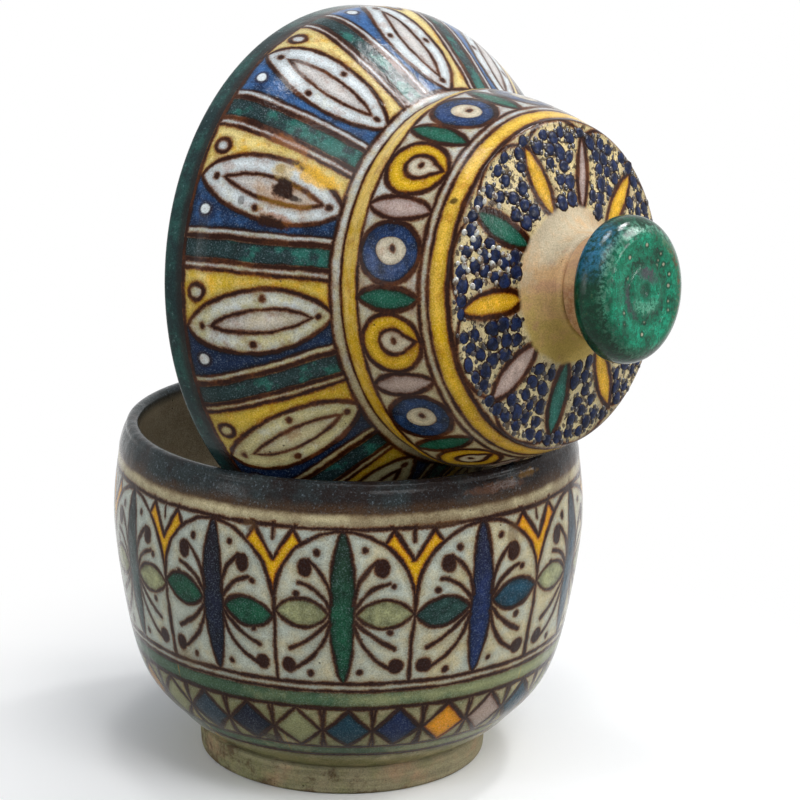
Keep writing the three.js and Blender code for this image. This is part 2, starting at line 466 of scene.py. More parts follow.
class Easel:
    """Draws in one node tree: a material's own, or that of a shared brush."""

    def __init__(self, tree: bpy.types.NodeTree) -> None:
        """Starts on the given tree."""
        self.tree = tree

    def node(self, kind: str, **settings: object) -> bpy.types.Node:
        """A new node of the given kind with its settings made.

        Args:
            kind: The node's type.
            **settings: The node's settings by name.

        Returns:
            The node.
        """
        node = self.tree.nodes.new(kind)
        for key, value in settings.items():
            setattr(node, key, value)
        return node

    def feed(self, socket: bpy.types.NodeSocket, value: object) -> None:
        """Links a field or a socket to an input, or sets the input's own value.

        Args:
            socket: The input.
            value: What feeds it.
        """
        if isinstance(value, Field):
            self.tree.links.new(value.socket, socket)
        elif isinstance(value, bpy.types.NodeSocket):
            self.tree.links.new(value, socket)
        elif isinstance(value, Tone):
            socket.default_value = value.linear
        else:
            socket.default_value = value

    def field(self, socket: bpy.types.NodeSocket) -> Field:
        """The number that comes out of a socket."""
        return Field(self.tree, socket)

    def wrap(self, name: str) -> tuple[Field, Field]:
        """The two numbers that a named map of the piece holds.

        Args:
            name: The map's name.

        Returns:
            Both numbers.
        """
        split = self.node("ShaderNodeSeparateXYZ")
        self.feed(split.inputs[0], self.node("ShaderNodeUVMap", uv_map=name).outputs[0])
        return self.field(split.outputs[0]), self.field(split.outputs[1])

    def stamp(self, brush: "Brush", **values: object) -> dict[str, Field]:
        """Places a shared brush and gives its outputs by name.

        Args:
            brush: The brush.
            **values: The group's inputs, with underscores for spaces.

        Returns:
            Each output by its name.
        """
        node = self.node("ShaderNodeGroup")
        node.node_tree = brush.tree()
        for key, value in values.items():
            self.feed(node.inputs[key.replace("_", " ").capitalize()], value)
        return {out.name: self.field(out) for out in node.outputs}

    def step(self, value: Field, low: float, high: float) -> Field:
        """A soft step from 0 at low to 1 at high, either way round.

        Args:
            value: The number.
            low: Where the step begins.
            high: Where it ends.

        Returns:
            The step.
        """
        node = self.node("ShaderNodeMapRange", interpolation_type="SMOOTHSTEP")
        self.feed(node.inputs["Value"], value)
        node.inputs["From Min"].default_value = low
        node.inputs["From Max"].default_value = high
        return self.field(node.outputs[0])

    def inside(self, distance: Field) -> Field:
        """A mask that is 1 inside a mark given by its distance."""
        return self.step(distance, 0.3, -0.3)

    def span(self, value: Field, low: float, high: float, soft: float = 0.35) -> Field:
        """A mask that is 1 between two values, with soft edges."""
        return self.step(value, low - soft, low + soft) * self.step(value, high + soft, high - soft)

    def over(self, ground: object, paint: object, mask: Number, lay: Lay = Lay.COVER) -> bpy.types.NodeSocket:
        """Lays a paint over a ground where the mask says.

        Args:
            ground: The colour below.
            paint: The colour above.
            mask: How much of it there is.
            lay: How it is laid.

        Returns:
            The painted colour.
        """
        node = self.node("ShaderNodeMix", data_type="RGBA", blend_type=lay.value)
        self.feed(node.inputs["Factor"], mask)
        self.feed(node.inputs[6], ground)
        self.feed(node.inputs[7], paint)
        return node.outputs[2]

    def coat(
        self, ground: object, paint: object, drift: Field, low: float, high: float, strength: float = 1.0
    ) -> bpy.types.NodeSocket:
        """Lays a paint over a ground where a number steps from low to high.

        Args:
            ground: The colour below.
            paint: The colour above.
            drift: The number that says where.
            low: Where the paint begins.
            high: Where it is full.
            strength: How much of it there is then.

        Returns:
            The coated colour.
        """
        mask = self.step(drift, low, high)
        return self.over(ground, paint, mask if strength == 1.0 else mask * strength)

    def shade(self, colour: object, amount: Field) -> bpy.types.NodeSocket:
        """Multiplies a colour by a number.

        Args:
            colour: The colour.
            amount: The number.

        Returns:
            The shaded colour.
        """
        node = self.node("ShaderNodeVectorMath", operation="SCALE")
        self.feed(node.inputs[0], colour)
        self.feed(node.inputs["Scale"], amount)
        return node.outputs[0]

    def texture(self, kind: str, size: float, **settings: object) -> bpy.types.Node:
        """A texture node in the piece's own space, with features of a size in millimetres.

        Args:
            kind: The node's type.
            size: Size of its features in millimetres.
            **settings: The node's settings by name.

        Returns:
            The node.
        """
        spot = self.node("ShaderNodeTexCoord").outputs["Object"]
        node = self.node(kind, **settings)
        self.feed(node.inputs["Vector"], spot)
        node.inputs["Scale"].default_value = 1 / (size * MM)
        return node

    def noise(self, size: float, detail: float = 2.0, rough: float = 0.5) -> Field:
        """Noise in the piece's own space.

        Args:
            size: Size of its features in millimetres.
            detail: How many finer layers it has.
            rough: How strong these are.

        Returns:
            The noise, about 0.5.
        """
        node = self.texture("ShaderNodeTexNoise", size)
        node.inputs["Detail"].default_value = detail
        node.inputs["Roughness"].default_value = rough
        return self.field(node.outputs[0])

    def whim(self, number: Field) -> Field:
        """A chance number from -0.5 to 0.5 that stays the same for the same number.

        Args:
            number: The number.

        Returns:
            The chance number.
        """
        node = self.node("ShaderNodeTexWhiteNoise", noise_dimensions="1D")
        self.feed(node.inputs["W"], number)
        return self.field(node.outputs["Value"]) - 0.5

    def by_index(self, index: Field, palette: list[Tone]) -> bpy.types.NodeSocket:
        """One tone of a list for each whole number from 0.

        Args:
            index: The whole number.
            palette: The tones, in order.

        Returns:
            The tone for the number.
        """
        node = self.node("ShaderNodeValToRGB")
        ramp = node.color_ramp
        ramp.interpolation = "CONSTANT"
        ramp.elements[0].color = palette[0].linear
        ramp.elements[1].position = 1 / len(palette)
        ramp.elements[1].color = palette[1].linear
        for i, tone in enumerate(palette[2:], start=2):
            ramp.elements.new(i / len(palette)).color = tone.linear
        self.feed(node.inputs[0], (index + 0.5) / len(palette))
        return node.outputs[0]


# Brushes that the painted surfaces share, each a node group


@dataclass(frozen=True)
class Brush:
    """A shared node group: its name, its inputs with their usual values, and what draws it."""

    name: str
    takes: dict[str, float | tuple[float, float, float]]
    draw: Callable[[Easel, dict[str, Field]], dict[str, Field]]

    def tree(self) -> bpy.types.NodeTree:
        """The node group, built when it is first asked for; a triple makes a vector input.

        Returns:
            The node group.
        """
        if self.name in bpy.data.node_groups:
            return bpy.data.node_groups[self.name]
        tree = bpy.data.node_groups.new(self.name, "ShaderNodeTree")
        for key, usual in self.takes.items():
            kind = "NodeSocketVector" if isinstance(usual, tuple) else "NodeSocketFloat"
            tree.interface.new_socket(name=key, in_out="INPUT", socket_type=kind).default_value = usual
        easel = Easel(tree)
        source = easel.node("NodeGroupInput")
        made = self.draw(easel, {key: easel.field(source.outputs[key]) for key in self.takes})
        for key in made:
            tree.interface.new_socket(name=key, in_out="OUTPUT", socket_type="NodeSocketFloat")
        sink = easel.node("NodeGroupOutput")
        for key, value in made.items():
            easel.feed(sink.inputs[key], value)
        return tree


def draw_leaf(easel: Easel, f: dict[str, Field]) -> dict[str, Field]:
    """A leaf along the height: distance to its edge in millimetres, negative inside.

    Args:
        easel: The easel to draw on.
        f: The group's inputs by name.

    Returns:
        The group's outputs by name.
    """
    length = f["Tip"] - f["Foot"]
    t = (f["Along"] - f["Foot"]) / length
    swell = t * (1 - t) * 4
    width = swell.most(0.0).math("POWER", f["Roundness"]) + swell.least(0.0)
    slope = (1 - t * 2) * 4 * f["Half width"] / length
    steep = (slope * slope + 1).math("SQRT")
    return {"Distance": (abs(f["Across"]) - width * f["Half width"]) / steep}


LEAF = Brush(
    "Leaf",
    {"Across": 0.0, "Along": 0.0, "Half width": 5.0, "Foot": 0.0, "Tip": 20.0, "Roundness": 1.0},
    draw_leaf,
)


def draw_oval(easel: Easel, f: dict[str, Field]) -> dict[str, Field]:
    """An oval about a centre: distance to its edge in millimetres, negative inside.

    Args:
        easel: The easel to draw on.
        f: The group's inputs by name.

    Returns:
        The group's outputs by name.
    """
    px = (f["Across"] - f["Centre across"]) / f["Half width"]
    py = (f["Along"] - f["Centre along"]) / f["Half height"]
    reach = (px * px + py * py).math("SQRT")
    qx = px / f["Half width"]
    qy = py / f["Half height"]
    spread = (qx * qx + qy * qy).math("SQRT") + 1e-5
    return {"Distance": reach * (reach - 1) / spread}


OVAL = Brush(
    "Oval",
    dict.fromkeys(("Across", "Along", "Centre across", "Centre along"), 0.0)
    | {"Half width": 1.0, "Half height": 1.0},
    draw_oval,
)


def draw_stroke(easel: Easel, f: dict[str, Field]) -> dict[str, Field]:
    """A bent stroke with round ends: distance to its edge in millimetres.

    Args:
        easel: The easel to draw on.
        f: The group's inputs by name.

    Returns:
        The group's outputs by name.
    """

    def vector(operation: str, *values: object, out: int = 0) -> Field:
        """One output of a vector calculation.

        Args:
            operation: What it does.
            *values: What it takes.
            out: Which output is wanted.

        Returns:
            The output.
        """
        node = easel.node("ShaderNodeVectorMath", operation=operation)
        for socket, value in zip(node.inputs, values):
            easel.feed(socket, value)
        return easel.field(node.outputs[out])

    away = vector("SUBTRACT", f["Point"], f["From"])
    whole = vector("SUBTRACT", f["To"], f["From"])
    share = vector("DOT_PRODUCT", away, whole, out=1) / vector("DOT_PRODUCT", whole, whole, out=1)
    share = share.most(0.0).least(1.0)
    square = vector("NORMALIZE", vector("CROSS_PRODUCT", whole, (0, 0, 1)))
    bow = easel.shade(square, share * (1 - share) * 4 * f["Bend"])
    rest = vector("SUBTRACT", vector("SUBTRACT", away, easel.shade(whole, share)), bow)
    return {"Distance": vector("LENGTH", rest, out=1) - f["Half width"]}


STROKE = Brush(
    "Stroke",
    {"Point": (0.0, 0.0, 0.0), "From": (0.0, 0.0, 0.0), "To": (1.0, 0.0, 0.0)}
    | {"Bend": 0.0, "Half width": 0.8},
    draw_stroke,
)


def draw_repeat(easel: Easel, f: dict[str, Field]) -> dict[str, Field]:
    """Repeats a motif round the pot: the motif's number and the place across it in cells.

    Args:
        easel: The easel to draw on.
        f: The group's inputs by name.

    Returns:
        The group's outputs by name.
    """
    run = f["Turns"] * f["Count"]
    whole = (run + 0.5).math("FLOOR")
    return {"Index": whole.math("FLOORED_MODULO", f["Count"]), "Place": run - whole}


REPEAT = Brush("Repeat", {"Turns": 0.0, "Count": 10.0}, draw_repeat)


def draw_wobble(easel: Easel, f: dict[str, Field]) -> dict[str, Field]:
    """The unsteadiness of a hand-held brush: how far a mark strays each way, in millimetres.

    Args:
        easel: The easel to draw on.
        f: The group's inputs by name.

    Returns:
        The group's outputs by name.
    """
    parts = []
    for size, reach in ((24, 2.6), (4.6, 1.0)):
        split = easel.node("ShaderNodeSeparateXYZ")
        drift = easel.texture("ShaderNodeTexNoise", size)
        drift.inputs["Detail"].default_value = 0
        easel.feed(split.inputs[0], drift.outputs[1])
        parts.append([(easel.field(split.outputs[i]) - 0.5) * reach for i in (0, 1)])
    (slow_x, slow_y), (fast_x, fast_y) = parts
    return {"Across": (slow_x + fast_x) * f["Amount"], "Along": (slow_y + fast_y) * f["Amount"]}


WOBBLE = Brush("Hand wobble", {"Amount": 1.0}, draw_wobble)


def draw_ink(easel: Easel, f: dict[str, Field]) -> dict[str, Field]:
    """Iron brown drawn under the glaze: a dark core and the paler stain that bleeds from it.

    Args:
        easel: The easel to draw on.
        f: The group's inputs by name.

    Returns:
        The group's outputs by name.
    """
    grain = easel.noise(1.1, 3, 0.7) - 0.5
    press = easel.noise(9, 1) - 0.5
    distance = f["Distance"] + grain * 1.35 + press * 1.1
    return {
        "Core": easel.step(distance, 0.35, -0.5),
        "Stain": easel.step(distance, 0.9, -0.1),
        "Thin": easel.step(easel.noise(14, 3, 0.6) + grain * 0.3, 0.48, 0.75),
    }


INK = Brush("Ink line", {"Distance": 1.0}, draw_ink)


def draw_glaze(easel: Easel, f: dict[str, Field]) -> dict[str, Field]:
    """What the kiln does to a glaze: grain, clouds, pinholes, crackle, pale specks and swell.

    Args:
        easel: The easel to draw on.
        f: The group's inputs by name.

    Returns:
        The group's outputs by name.
    """
    grain = easel.noise(0.6, 2, 0.6)
    cloud = easel.noise(17, 4, 0.65)
    tin = easel.noise(0.7, 2, 0.6)
    pits = easel.texture("ShaderNodeTexVoronoi", 7)
    chosen = easel.step(easel.field(pits.outputs["Color"]), 0.55, 0.6)
    pit = easel.step(easel.field(pits.outputs["Distance"]), 0.085, 0.03) * chosen
    cracks = easel.texture("ShaderNodeTexVoronoi", 4.6, feature="DISTANCE_TO_EDGE")
    crack = easel.step(easel.field(cracks.outputs["Distance"]), 0.03, 0.006)
    peel = easel.noise(2.2, 2)
    swell = easel.noise(14, 1)
    thrown = easel.node("ShaderNodeTexNoise")
    easel.feed(thrown.inputs["Vector"], f["Throwing"])
    thrown.inputs["Scale"].default_value = 1.0
    rings = (easel.field(thrown.outputs[0]) - 0.5) * f["Turning"]
    return {
        "Grain": grain,
        "Cloud": cloud,
        "Pits": pit * f["Pitting"],
        "Crackle": crack * f["Crazing"],
        "Specks": easel.step(tin + grain * 0.3, 0.62, 0.86) * f["Speckling"],
        "Rings": rings,
        "Relief": peel * 0.17 + swell * 0.8 + grain * 0.07 + rings * 0.2 - pit * 0.25,
    }


GLAZE = Brush(
    "Fired glaze",
    {"Throwing": (0.0, 0.0, 0.0), "Turning": 0.5, "Pitting": 1.0, "Crazing": 1.0, "Speckling": 0.5},
    draw_glaze,
)


def draw_patch(easel: Easel, f: dict[str, Field]) -> dict[str, Field]:
    """A ragged patch about a place on the wrap map, such as a stain, a burn or a chip.

    Args:
        easel: The easel to draw on.
        f: The group's inputs by name.

    Returns:
        The group's outputs by name.
    """
    ragged = (easel.noise(5, 3, 0.65) - 0.5) * f["Raggedness"]
    px = f["Across"] / f["Half width"]
    py = f["Along"] / f["Half height"]
    reach = (px * px + py * py).math("SQRT") + ragged
    return {"Mask": easel.step(reach, 1.15, 0.55)}


PATCH = Brush(
    "Ragged patch",
    {"Across": 0.0, "Along": 0.0, "Half width": 4.0, "Half height": 4.0, "Raggedness": 1.6},
    draw_patch,
)


# What a motif and a finish are made of


@dataclass(frozen=True)
class Stem:
    """A brush stroke in a motif: both ends, its bow and its width, in millimetres."""

    start: tuple[float, float]
    end: tuple[float, float]
    bend: float
    width: float


@dataclass(frozen=True)
class Blob:
    """A filled oval in a motif: its centre and its width and height, in millimetres."""

    x: float
    y: float
    width: float
    height: float


@dataclass(frozen=True)
class Blemish:
    """A stain, burn or chip: its bearing in degrees, arc length, size, tone and strength."""

    bearing: float
    arc: float
    width: float
    height: float
    tone: Tone
    strength: float = 1.0
    raggedness: float = 1.6


@dataclass(frozen=True)
class Finish:
    """How a surface takes the light once its colour is painted."""

    roughness: float
    specular: float
    relief: float = 0.9
    grain: float = 1.2
    cloud: float = 0.6
    pitting: float = 0.8
    crazing: float = 0.0
    specks: float = 0.0
    rings: float = 0.0


class PaintedSurface:
    """A material whose colour is built up on an easel and fired with one finish."""

    THROWING = (9, 0.62)
    CLAY_SMOOTHING = 0.4
    CLAY_ROUGHNESS = 0.78
    CLOUD_ROUGHNESS = 0.12
    PIT_ROUGHNESS = 0.3
    PIT_DARKNESS = 0.75
    CRACK_DARKNESS = 0.22

    def __init__(self, name: str, finish: Finish) -> None:
        """Starts an empty material with its finish.

        Args:
            name: The material's name.
            finish: How it takes the light.
        """
        self.finish = finish
        self.material = bpy.data.materials.new(name)
        self.material.use_nodes = True
        tree = self.material.node_tree
        tree.nodes.clear()
        self.easel = Easel(tree)
        self.turns, self.arc = self.easel.wrap("wrap")
        wobble = self.easel.stamp(WOBBLE)
        self.stray_x, self.stray_y = wobble["Across"], wobble["Along"]

    def leaf(
        self, across: Field, along: Field, half: Number, foot: Number, tip: Number, roundness: float
    ) -> Field:
        """Distance to the edge of a leaf."""
        values = {"across": across, "along": along, "half_width": half, "foot": foot, "tip": tip}
        return self.easel.stamp(LEAF, **values, roundness=roundness)["Distance"]

    def oval(self, across: Field, along: Field, blob: Blob) -> Field:
        """Distance to the edge of a blob.

        Args:
            across: Millimetres across the motif.
            along: Millimetres along the motif.
            blob: The oval.

        Returns:
            The distance in millimetres, negative inside.
        """
        return self.easel.stamp(
            OVAL,
            across=across,
            along=along,
            centre_across=blob.x,
            centre_along=blob.y,
            half_width=blob.width / 2,
            half_height=blob.height / 2,
        )["Distance"]

    def stroke(self, point: bpy.types.NodeSocket, stem: Stem) -> Field:
        """Distance to the edge of a stem.

        Args:
            point: The place in the motif.
            stem: The stroke.

        Returns:
            The distance in millimetres, negative inside.
        """
        return self.easel.stamp(
            STROKE,
            point=point,
            **{"from": (*stem.start, 0), "to": (*stem.end, 0)},
            bend=stem.bend,
            half_width=stem.width / 2,
        )["Distance"]

    def point(self, x: Field, y: Field) -> bpy.types.NodeSocket:
        """Two numbers joined into a place in a motif.

        Args:
            x: Its first number.
            y: Its second number.

        Returns:
            The place.
        """
        node = self.easel.node("ShaderNodeCombineXYZ")
        self.easel.feed(node.inputs[0], x)
        self.easel.feed(node.inputs[1], y)
        return node.outputs[0]

    def bearing(self) -> Field:
        """The bearing round the axis in turns from the piece's own +X."""
        return self.turns + SEAM / FULL_TURN

    def angle(self, bearing: float = 0.0) -> Field:
        """The angle round the axis in radians, counted from a bearing in degrees."""
        return (self.bearing() - bearing / 360 if bearing else self.bearing()) * FULL_TURN

    def repeat(self, turns: Field, count: int) -> tuple[Field, Field]:
        """The number of a motif repeated round the pot, and the place across it in cells."""
        cell = self.easel.stamp(REPEAT, turns=turns, count=float(count))
        return cell["Index"], cell["Place"]

    def ruled(self, lines: Field, place: Field, runs: Iterable[tuple[float, float]]) -> Field:
        """Adds straight lines, each by its middle and width, to the distance to the nearest line.

        Args:
            lines: The distance to the nearest line so far.
            place: What the lines are counted along.
            runs: Their middles and widths.

        Returns:
            The distance to the nearest of them all.
        """
        for middle, width in runs:
            lines = lines.least(abs(place - middle) - width / 2)
        return lines

    def dotted(self, lines: Field, across: Field, along: Field, dots: Iterable[Blob]) -> Field:
        """Adds filled dots to the distance to the nearest line.

        Args:
            lines: The distance to the nearest line so far.
            across: Millimetres across the motif.
            along: Millimetres along the motif.
            dots: The dots.

        Returns:
            The distance to the nearest of them all.
        """
        for dot in dots:
            lines = lines.least(self.oval(across, along, dot))
        return lines

    def stroked(self, lines: Field, point: bpy.types.NodeSocket, stems: Iterable[Stem]) -> Field:
        """Adds brush strokes to the distance to the nearest line.

        Args:
            lines: The distance to the nearest line so far.
            point: The place in the motif.
            stems: The strokes.

        Returns:
            The distance to the nearest of them all.
        """
        for stem in stems:
            lines = lines.least(self.stroke(point, stem))
        return lines

    def inked(self, colour: object, distance: Field, thin: Tone = Tone.INK_GREY) -> bpy.types.NodeSocket:
        """Draws the brown lines over a colour, which pools darker beside them.

        Args:
            colour: The colour below.
            distance: Distance to the nearest line in millimetres.
            thin: The tone of the lines where they are thin.

        Returns:
            The colour with the lines.
        """
        easel = self.easel
        ink = easel.stamp(INK, distance=distance)
        pooled = easel.shade(colour, easel.step(distance, 0.2, 3.0) * 0.34 + 0.66)
        tin = easel.noise(0.6, 2, 0.65)
        pooled = easel.coat(pooled, Tone.SPECK, tin, 0.52, 0.74, 0.26)
        washed = easel.over(pooled, Tone.INK_WASH, ink["Stain"] * 0.85, Lay.WASH)
        return easel.over(washed, easel.over(Tone.INK, thin, ink["Thin"] * 0.5), ink["Core"])

    def mottled(
        self, cool: object, warm: object, lean: Number = 0.0, size: float = 12
    ) -> bpy.types.NodeSocket:
        """A ground that wanders between two tones; a lean above nothing favours the second."""
        return self.easel.coat(cool, warm, self.easel.noise(size, 4, 0.68) + lean, 0.3, 0.7)

    def blemished(self, colour: object, blemishes: list[Blemish], girth: Number) -> bpy.types.NodeSocket:
        """Lays stains, burns and chips over a colour.

        Args:
            colour: The colour below.
            blemishes: What lies over it.
            girth: The radius in millimetres where they lie.

        Returns:
            The stained colour.
        """
        for spot in blemishes:
            off = self.bearing() - spot.bearing / 360
            off = off - (off + 0.5).math("FLOOR")
            mask = self.easel.stamp(
                PATCH,
                across=off * FULL_TURN * girth,
                along=self.arc - spot.arc,
                half_width=spot.width / 2,
                half_height=spot.height / 2,
                raggedness=spot.raggedness,
            )["Mask"]
            colour = self.easel.over(colour, spot.tone, mask * spot.strength)
        return colour

    def fired(self, colour: object, bare: Field | None = None) -> bpy.types.Material:
        """Fires the painted colour: grain, clouds, pinholes, crackle, gloss and relief.

        Args:
            colour: The painted colour.
            bare: Where the surface is unglazed clay, if anywhere.

        Returns:
            The finished material.
        """
        easel, finish = self.easel, self.finish
        glaze = easel.stamp(
            GLAZE,
            throwing=self.point(self.turns * self.THROWING[0], self.arc * self.THROWING[1]),
            turning=finish.rings,
            pitting=finish.pitting,
            crazing=finish.crazing,
            speckling=finish.specks,
        )
        grain = (glaze["Grain"] - 0.5) * finish.grain
        if bare is not None:
            grain = grain * (1 - bare * self.CLAY_SMOOTHING)
        light = 1 + grain + (glaze["Cloud"] - 0.5) * finish.cloud + glaze["Rings"]
        dark = (glaze["Pits"] * self.PIT_DARKNESS).most(glaze["Crackle"] * self.CRACK_DARKNESS)
        shaded = easel.shade(colour, light * (1 - dark))
        shaded = easel.over(shaded, Tone.SPECK, glaze["Specks"])
        rough = (glaze["Cloud"] - 0.5) * self.CLOUD_ROUGHNESS + finish.roughness
        rough = rough + glaze["Pits"] * self.PIT_ROUGHNESS
        if bare is not None:
            rough = rough + bare * (self.CLAY_ROUGHNESS - finish.roughness)
        shader = easel.node("ShaderNodeBsdfPrincipled")
        shader.inputs["Specular IOR Level"].default_value = finish.specular
        easel.feed(shader.inputs["Base Color"], shaded)
        easel.feed(shader.inputs["Roughness"], rough)
        bump = easel.node("ShaderNodeBump")
        bump.inputs["Strength"].default_value = finish.relief
        bump.inputs["Distance"].default_value = MM
        easel.feed(bump.inputs["Height"], glaze["Relief"])
        easel.feed(shader.inputs["Normal"], bump.outputs[0])
        easel.feed(easel.node("ShaderNodeOutputMaterial").inputs["Surface"], shader.outputs[0])
        return self.material


class BowlPaint(PaintedSurface):
    """The bowl's painted glaze: rim, arcade, lozenges and bands, with the khaki inside."""

    CELLS = 11
    CELL_WIDTH = 56.0
    LEAN = 6.5
    ARCADE_FOOT = 62.3
    FIRST_CELL = 0.25
    GREEN_BANDS = ((18.6, 24.6), (51.0, 57.9))
    GROUND_START = (46.0, 60.0)
    CREAM_STRIPE = (130.3, 135.5)
    RIM_START = (135.2, 136.9)
    KHAKI_START = (153.5, 160.5)
    CLAY_END = (2.2, 0.6)
    GIRTH = 96.0
    LOZENGE_STEP = 19.8
    LOZENGE_MIDDLE = 38.2
    LOZENGE_LEAD = 88.5
    BETWEEN = [
        Stem((0, 53.6), (9.2, 68), 0, 1.9),
        Stem((0, 61.5), (0, 69), 0, 1.4),
        Stem((11.2, 61.2), (8.2, 65.9), 0, 1.5),
    ]
    LEAVES = tones("LEAF COBALT TEAL_BLUE LEAF NAVY SLATE_GREEN COBALT LEAF NAVY SLATE_GREEN NAVY")
    LEFT_SIDES = tones(
        "PALE_OLIVE SLATE_GREEN PALE_OLIVE TEAL_BLUE PALE_OLIVE LEAF PALE_OLIVE SLATE_GREEN "
        "PALE_OLIVE PALE_OLIVE LEAF"
    )
    RIGHT_SIDES = tones(
        "PALE_OLIVE TEAL_BLUE PALE_OLIVE TEAL_BLUE PALE_OLIVE LEAF PALE_OLIVE TEAL_BLUE "
        "PALE_OLIVE PALE_OLIVE LEAF"
    )
    STEMS = [
        Stem((4.6, 36.0), (13.2, 53.6), -2.4, 1.8),
        Stem((5.4, 34.6), (17.6, 44.6), -1.8, 1.7),
        Stem((5.4, 28.4), (21.0, 15.5), 1.2, 1.9),
        Stem((4.8, 27.0), (20.6, 6.0), 3.2, 1.8),
    ]
    BLOBS = [Blob(14.9, 50.6, 5.8, 7.8), Blob(21.9, 7.6, 6.4, 6.8)]
    DOTS = [
        Blob(-10, 57, 2.6, 3.2),
        Blob(-19, 40, 2.5, 2.5),
        Blob(-13, 4.4, 2.4, 3.2),
        Blob(8.6, 58.4, 2.4, 2.6),
        Blob(19.3, 43.4, 2.5, 2.7),
        Blob(18.7, 22.8, 2.5, 2.7),
        Blob(7, 5.6, 2.6, 2.6),
    ]
    LOZENGES = tones(
        "TEAL_BLUE COBALT ORANGE MAUVE TEAL_BLUE PALE_OLIVE OCHRE NAVY SLATE PALE_OLIVE COBALT "
        "ORANGE MAUVE TEAL_BLUE NAVY PALE_OLIVE OCHRE COBALT SLATE PALE_OLIVE NAVY ORANGE OCHRE "
        "PALE_OLIVE SLATE NAVY PALE_OLIVE"
    )
    LINES = [(129.3, 1.7), (62.3, 1.7), (58.7, 1.5), (50.4, 1.9), (25.8, 1.6), (17.6, 1.7)]
    BLEMISHES = [
        Blemish(-50, 141, 30, 5, Tone.RUST, 0.22, 2.2),
        Blemish(-40, 143, 18, 4, Tone.OCHRE, 0.35, 2.2),
        Blemish(-66, 131, 26, 6, Tone.SOIL, 0.5),
        Blemish(-112, 128, 7, 5, Tone.SOIL, 0.6),
        Blemish(-47, 121, 7, 8, Tone.SOIL, 0.55),
        Blemish(-111, 29, 8, 7, Tone.BURNT, 0.7),
        Blemish(-131, 64, 24, 8, Tone.SOIL, 0.3),
    ]

    def arcade(self, colour: object, x: Field, y: Field, index: Field, slant: Field) -> tuple[object, Field]:
        """Leaves under arches: fills the colours and gives the distance to the brown lines.

        Args:
            colour: The ground.
            x: Millimetres from the cell's middle.
            y: Millimetres above the arcade's foot.
            index: The cell's number.
            slant: How far its side leaves tilt.

        Returns:
            The colour with the fills, and the distance to the nearest line.
        """
        easel = self.easel
        side = abs(x)
        inner = side * -1 + self.CELL_WIDTH / 2
        tall = self.leaf(x, y, 5.1, 0.5, 66.5, 0.62)
        flank = self.leaf(y - 31.5 + x * slant, side, 6.4, 5.6, 27.4, 0.8)
        arch = self.oval(side, (y - 35).most(0.0), Blob(0, 0, self.CELL_WIDTH, 62))
        notch = (y - inner * 1.53 - 54) * 0.547
        cap = (inner - 11) * 0.84 + (y - 61.6) * 0.545
        thick = easel.noise(5, 3, 0.65) * 2.2 - 0.1
        leaf = easel.over(easel.by_index(index, self.LEAVES), Tone.RIM_BROWN, easel.step(y, 26, 60) * 0.6)
        leaf = easel.shade(leaf, thick)
        colour = easel.over(colour, leaf, easel.inside(tall))
        flanks = easel.over(
            easel.by_index(index, self.LEFT_SIDES),
            easel.by_index(index, self.RIGHT_SIDES),
            easel.step(x, -0.1, 0.1),
        )
        colour = easel.over(colour, easel.shade(flanks, thick), easel.inside(flank))
        fork = easel.step(arch, 0.1, 0.9) * easel.inside(notch) * easel.inside(cap)
        colour = easel.over(colour, self.mottled(Tone.ORANGE, Tone.FORK_YELLOW, 0.02, 32), fork)
        lines = (abs(tall) - 0.45).least(abs(flank) - 0.7).least(abs(arch) - 0.85)
        lines = self.stroked(lines, self.point(side, y), self.STEMS)
        lines = self.dotted(lines, side, y, self.BLOBS)
        lines = self.dotted(lines, x, y, self.DOTS)
        lines = self.stroked(lines, self.point(inner, y), self.BETWEEN)
        return colour, lines.most(abs(y - 34) - 34.5)

    def lozenges(self, colour: object) -> tuple[object, Field]:
        """The row of lozenges above the foot: its fills and the distance to its lines.

        Args:
            colour: The colour below.

        Returns:
            The colour and the distance to the nearest line.
        """
        easel = self.easel
        index, place = self.repeat(self.bearing() + self.LOZENGE_LEAD / 360, len(self.LOZENGES))
        x = place * self.LOZENGE_STEP + self.stray_x * 0.6
        y = self.arc - self.LOZENGE_MIDDLE + self.stray_y * 0.6
        slip = easel.whim(index) * 2.2
        diamond = (abs(x) / 9.4 + abs(y) / 11.6 - 1) * 7.4
        fill = (abs(x - slip) / 9.4 + abs(y + slip * 0.5) / 11.6 - 1) * 7.4
        band = abs(y) - 12.2
        mask = easel.step(fill, 0.4, -0.2) * easel.step(band, 0.2, -0.2)
        colour = easel.over(colour, easel.by_index(index, self.LOZENGES), mask)
        tick = abs(abs(x) - 9.9 + y * y * 0.006) - 0.75
        return colour, (abs(diamond) - 0.8).least(tick).most(band)

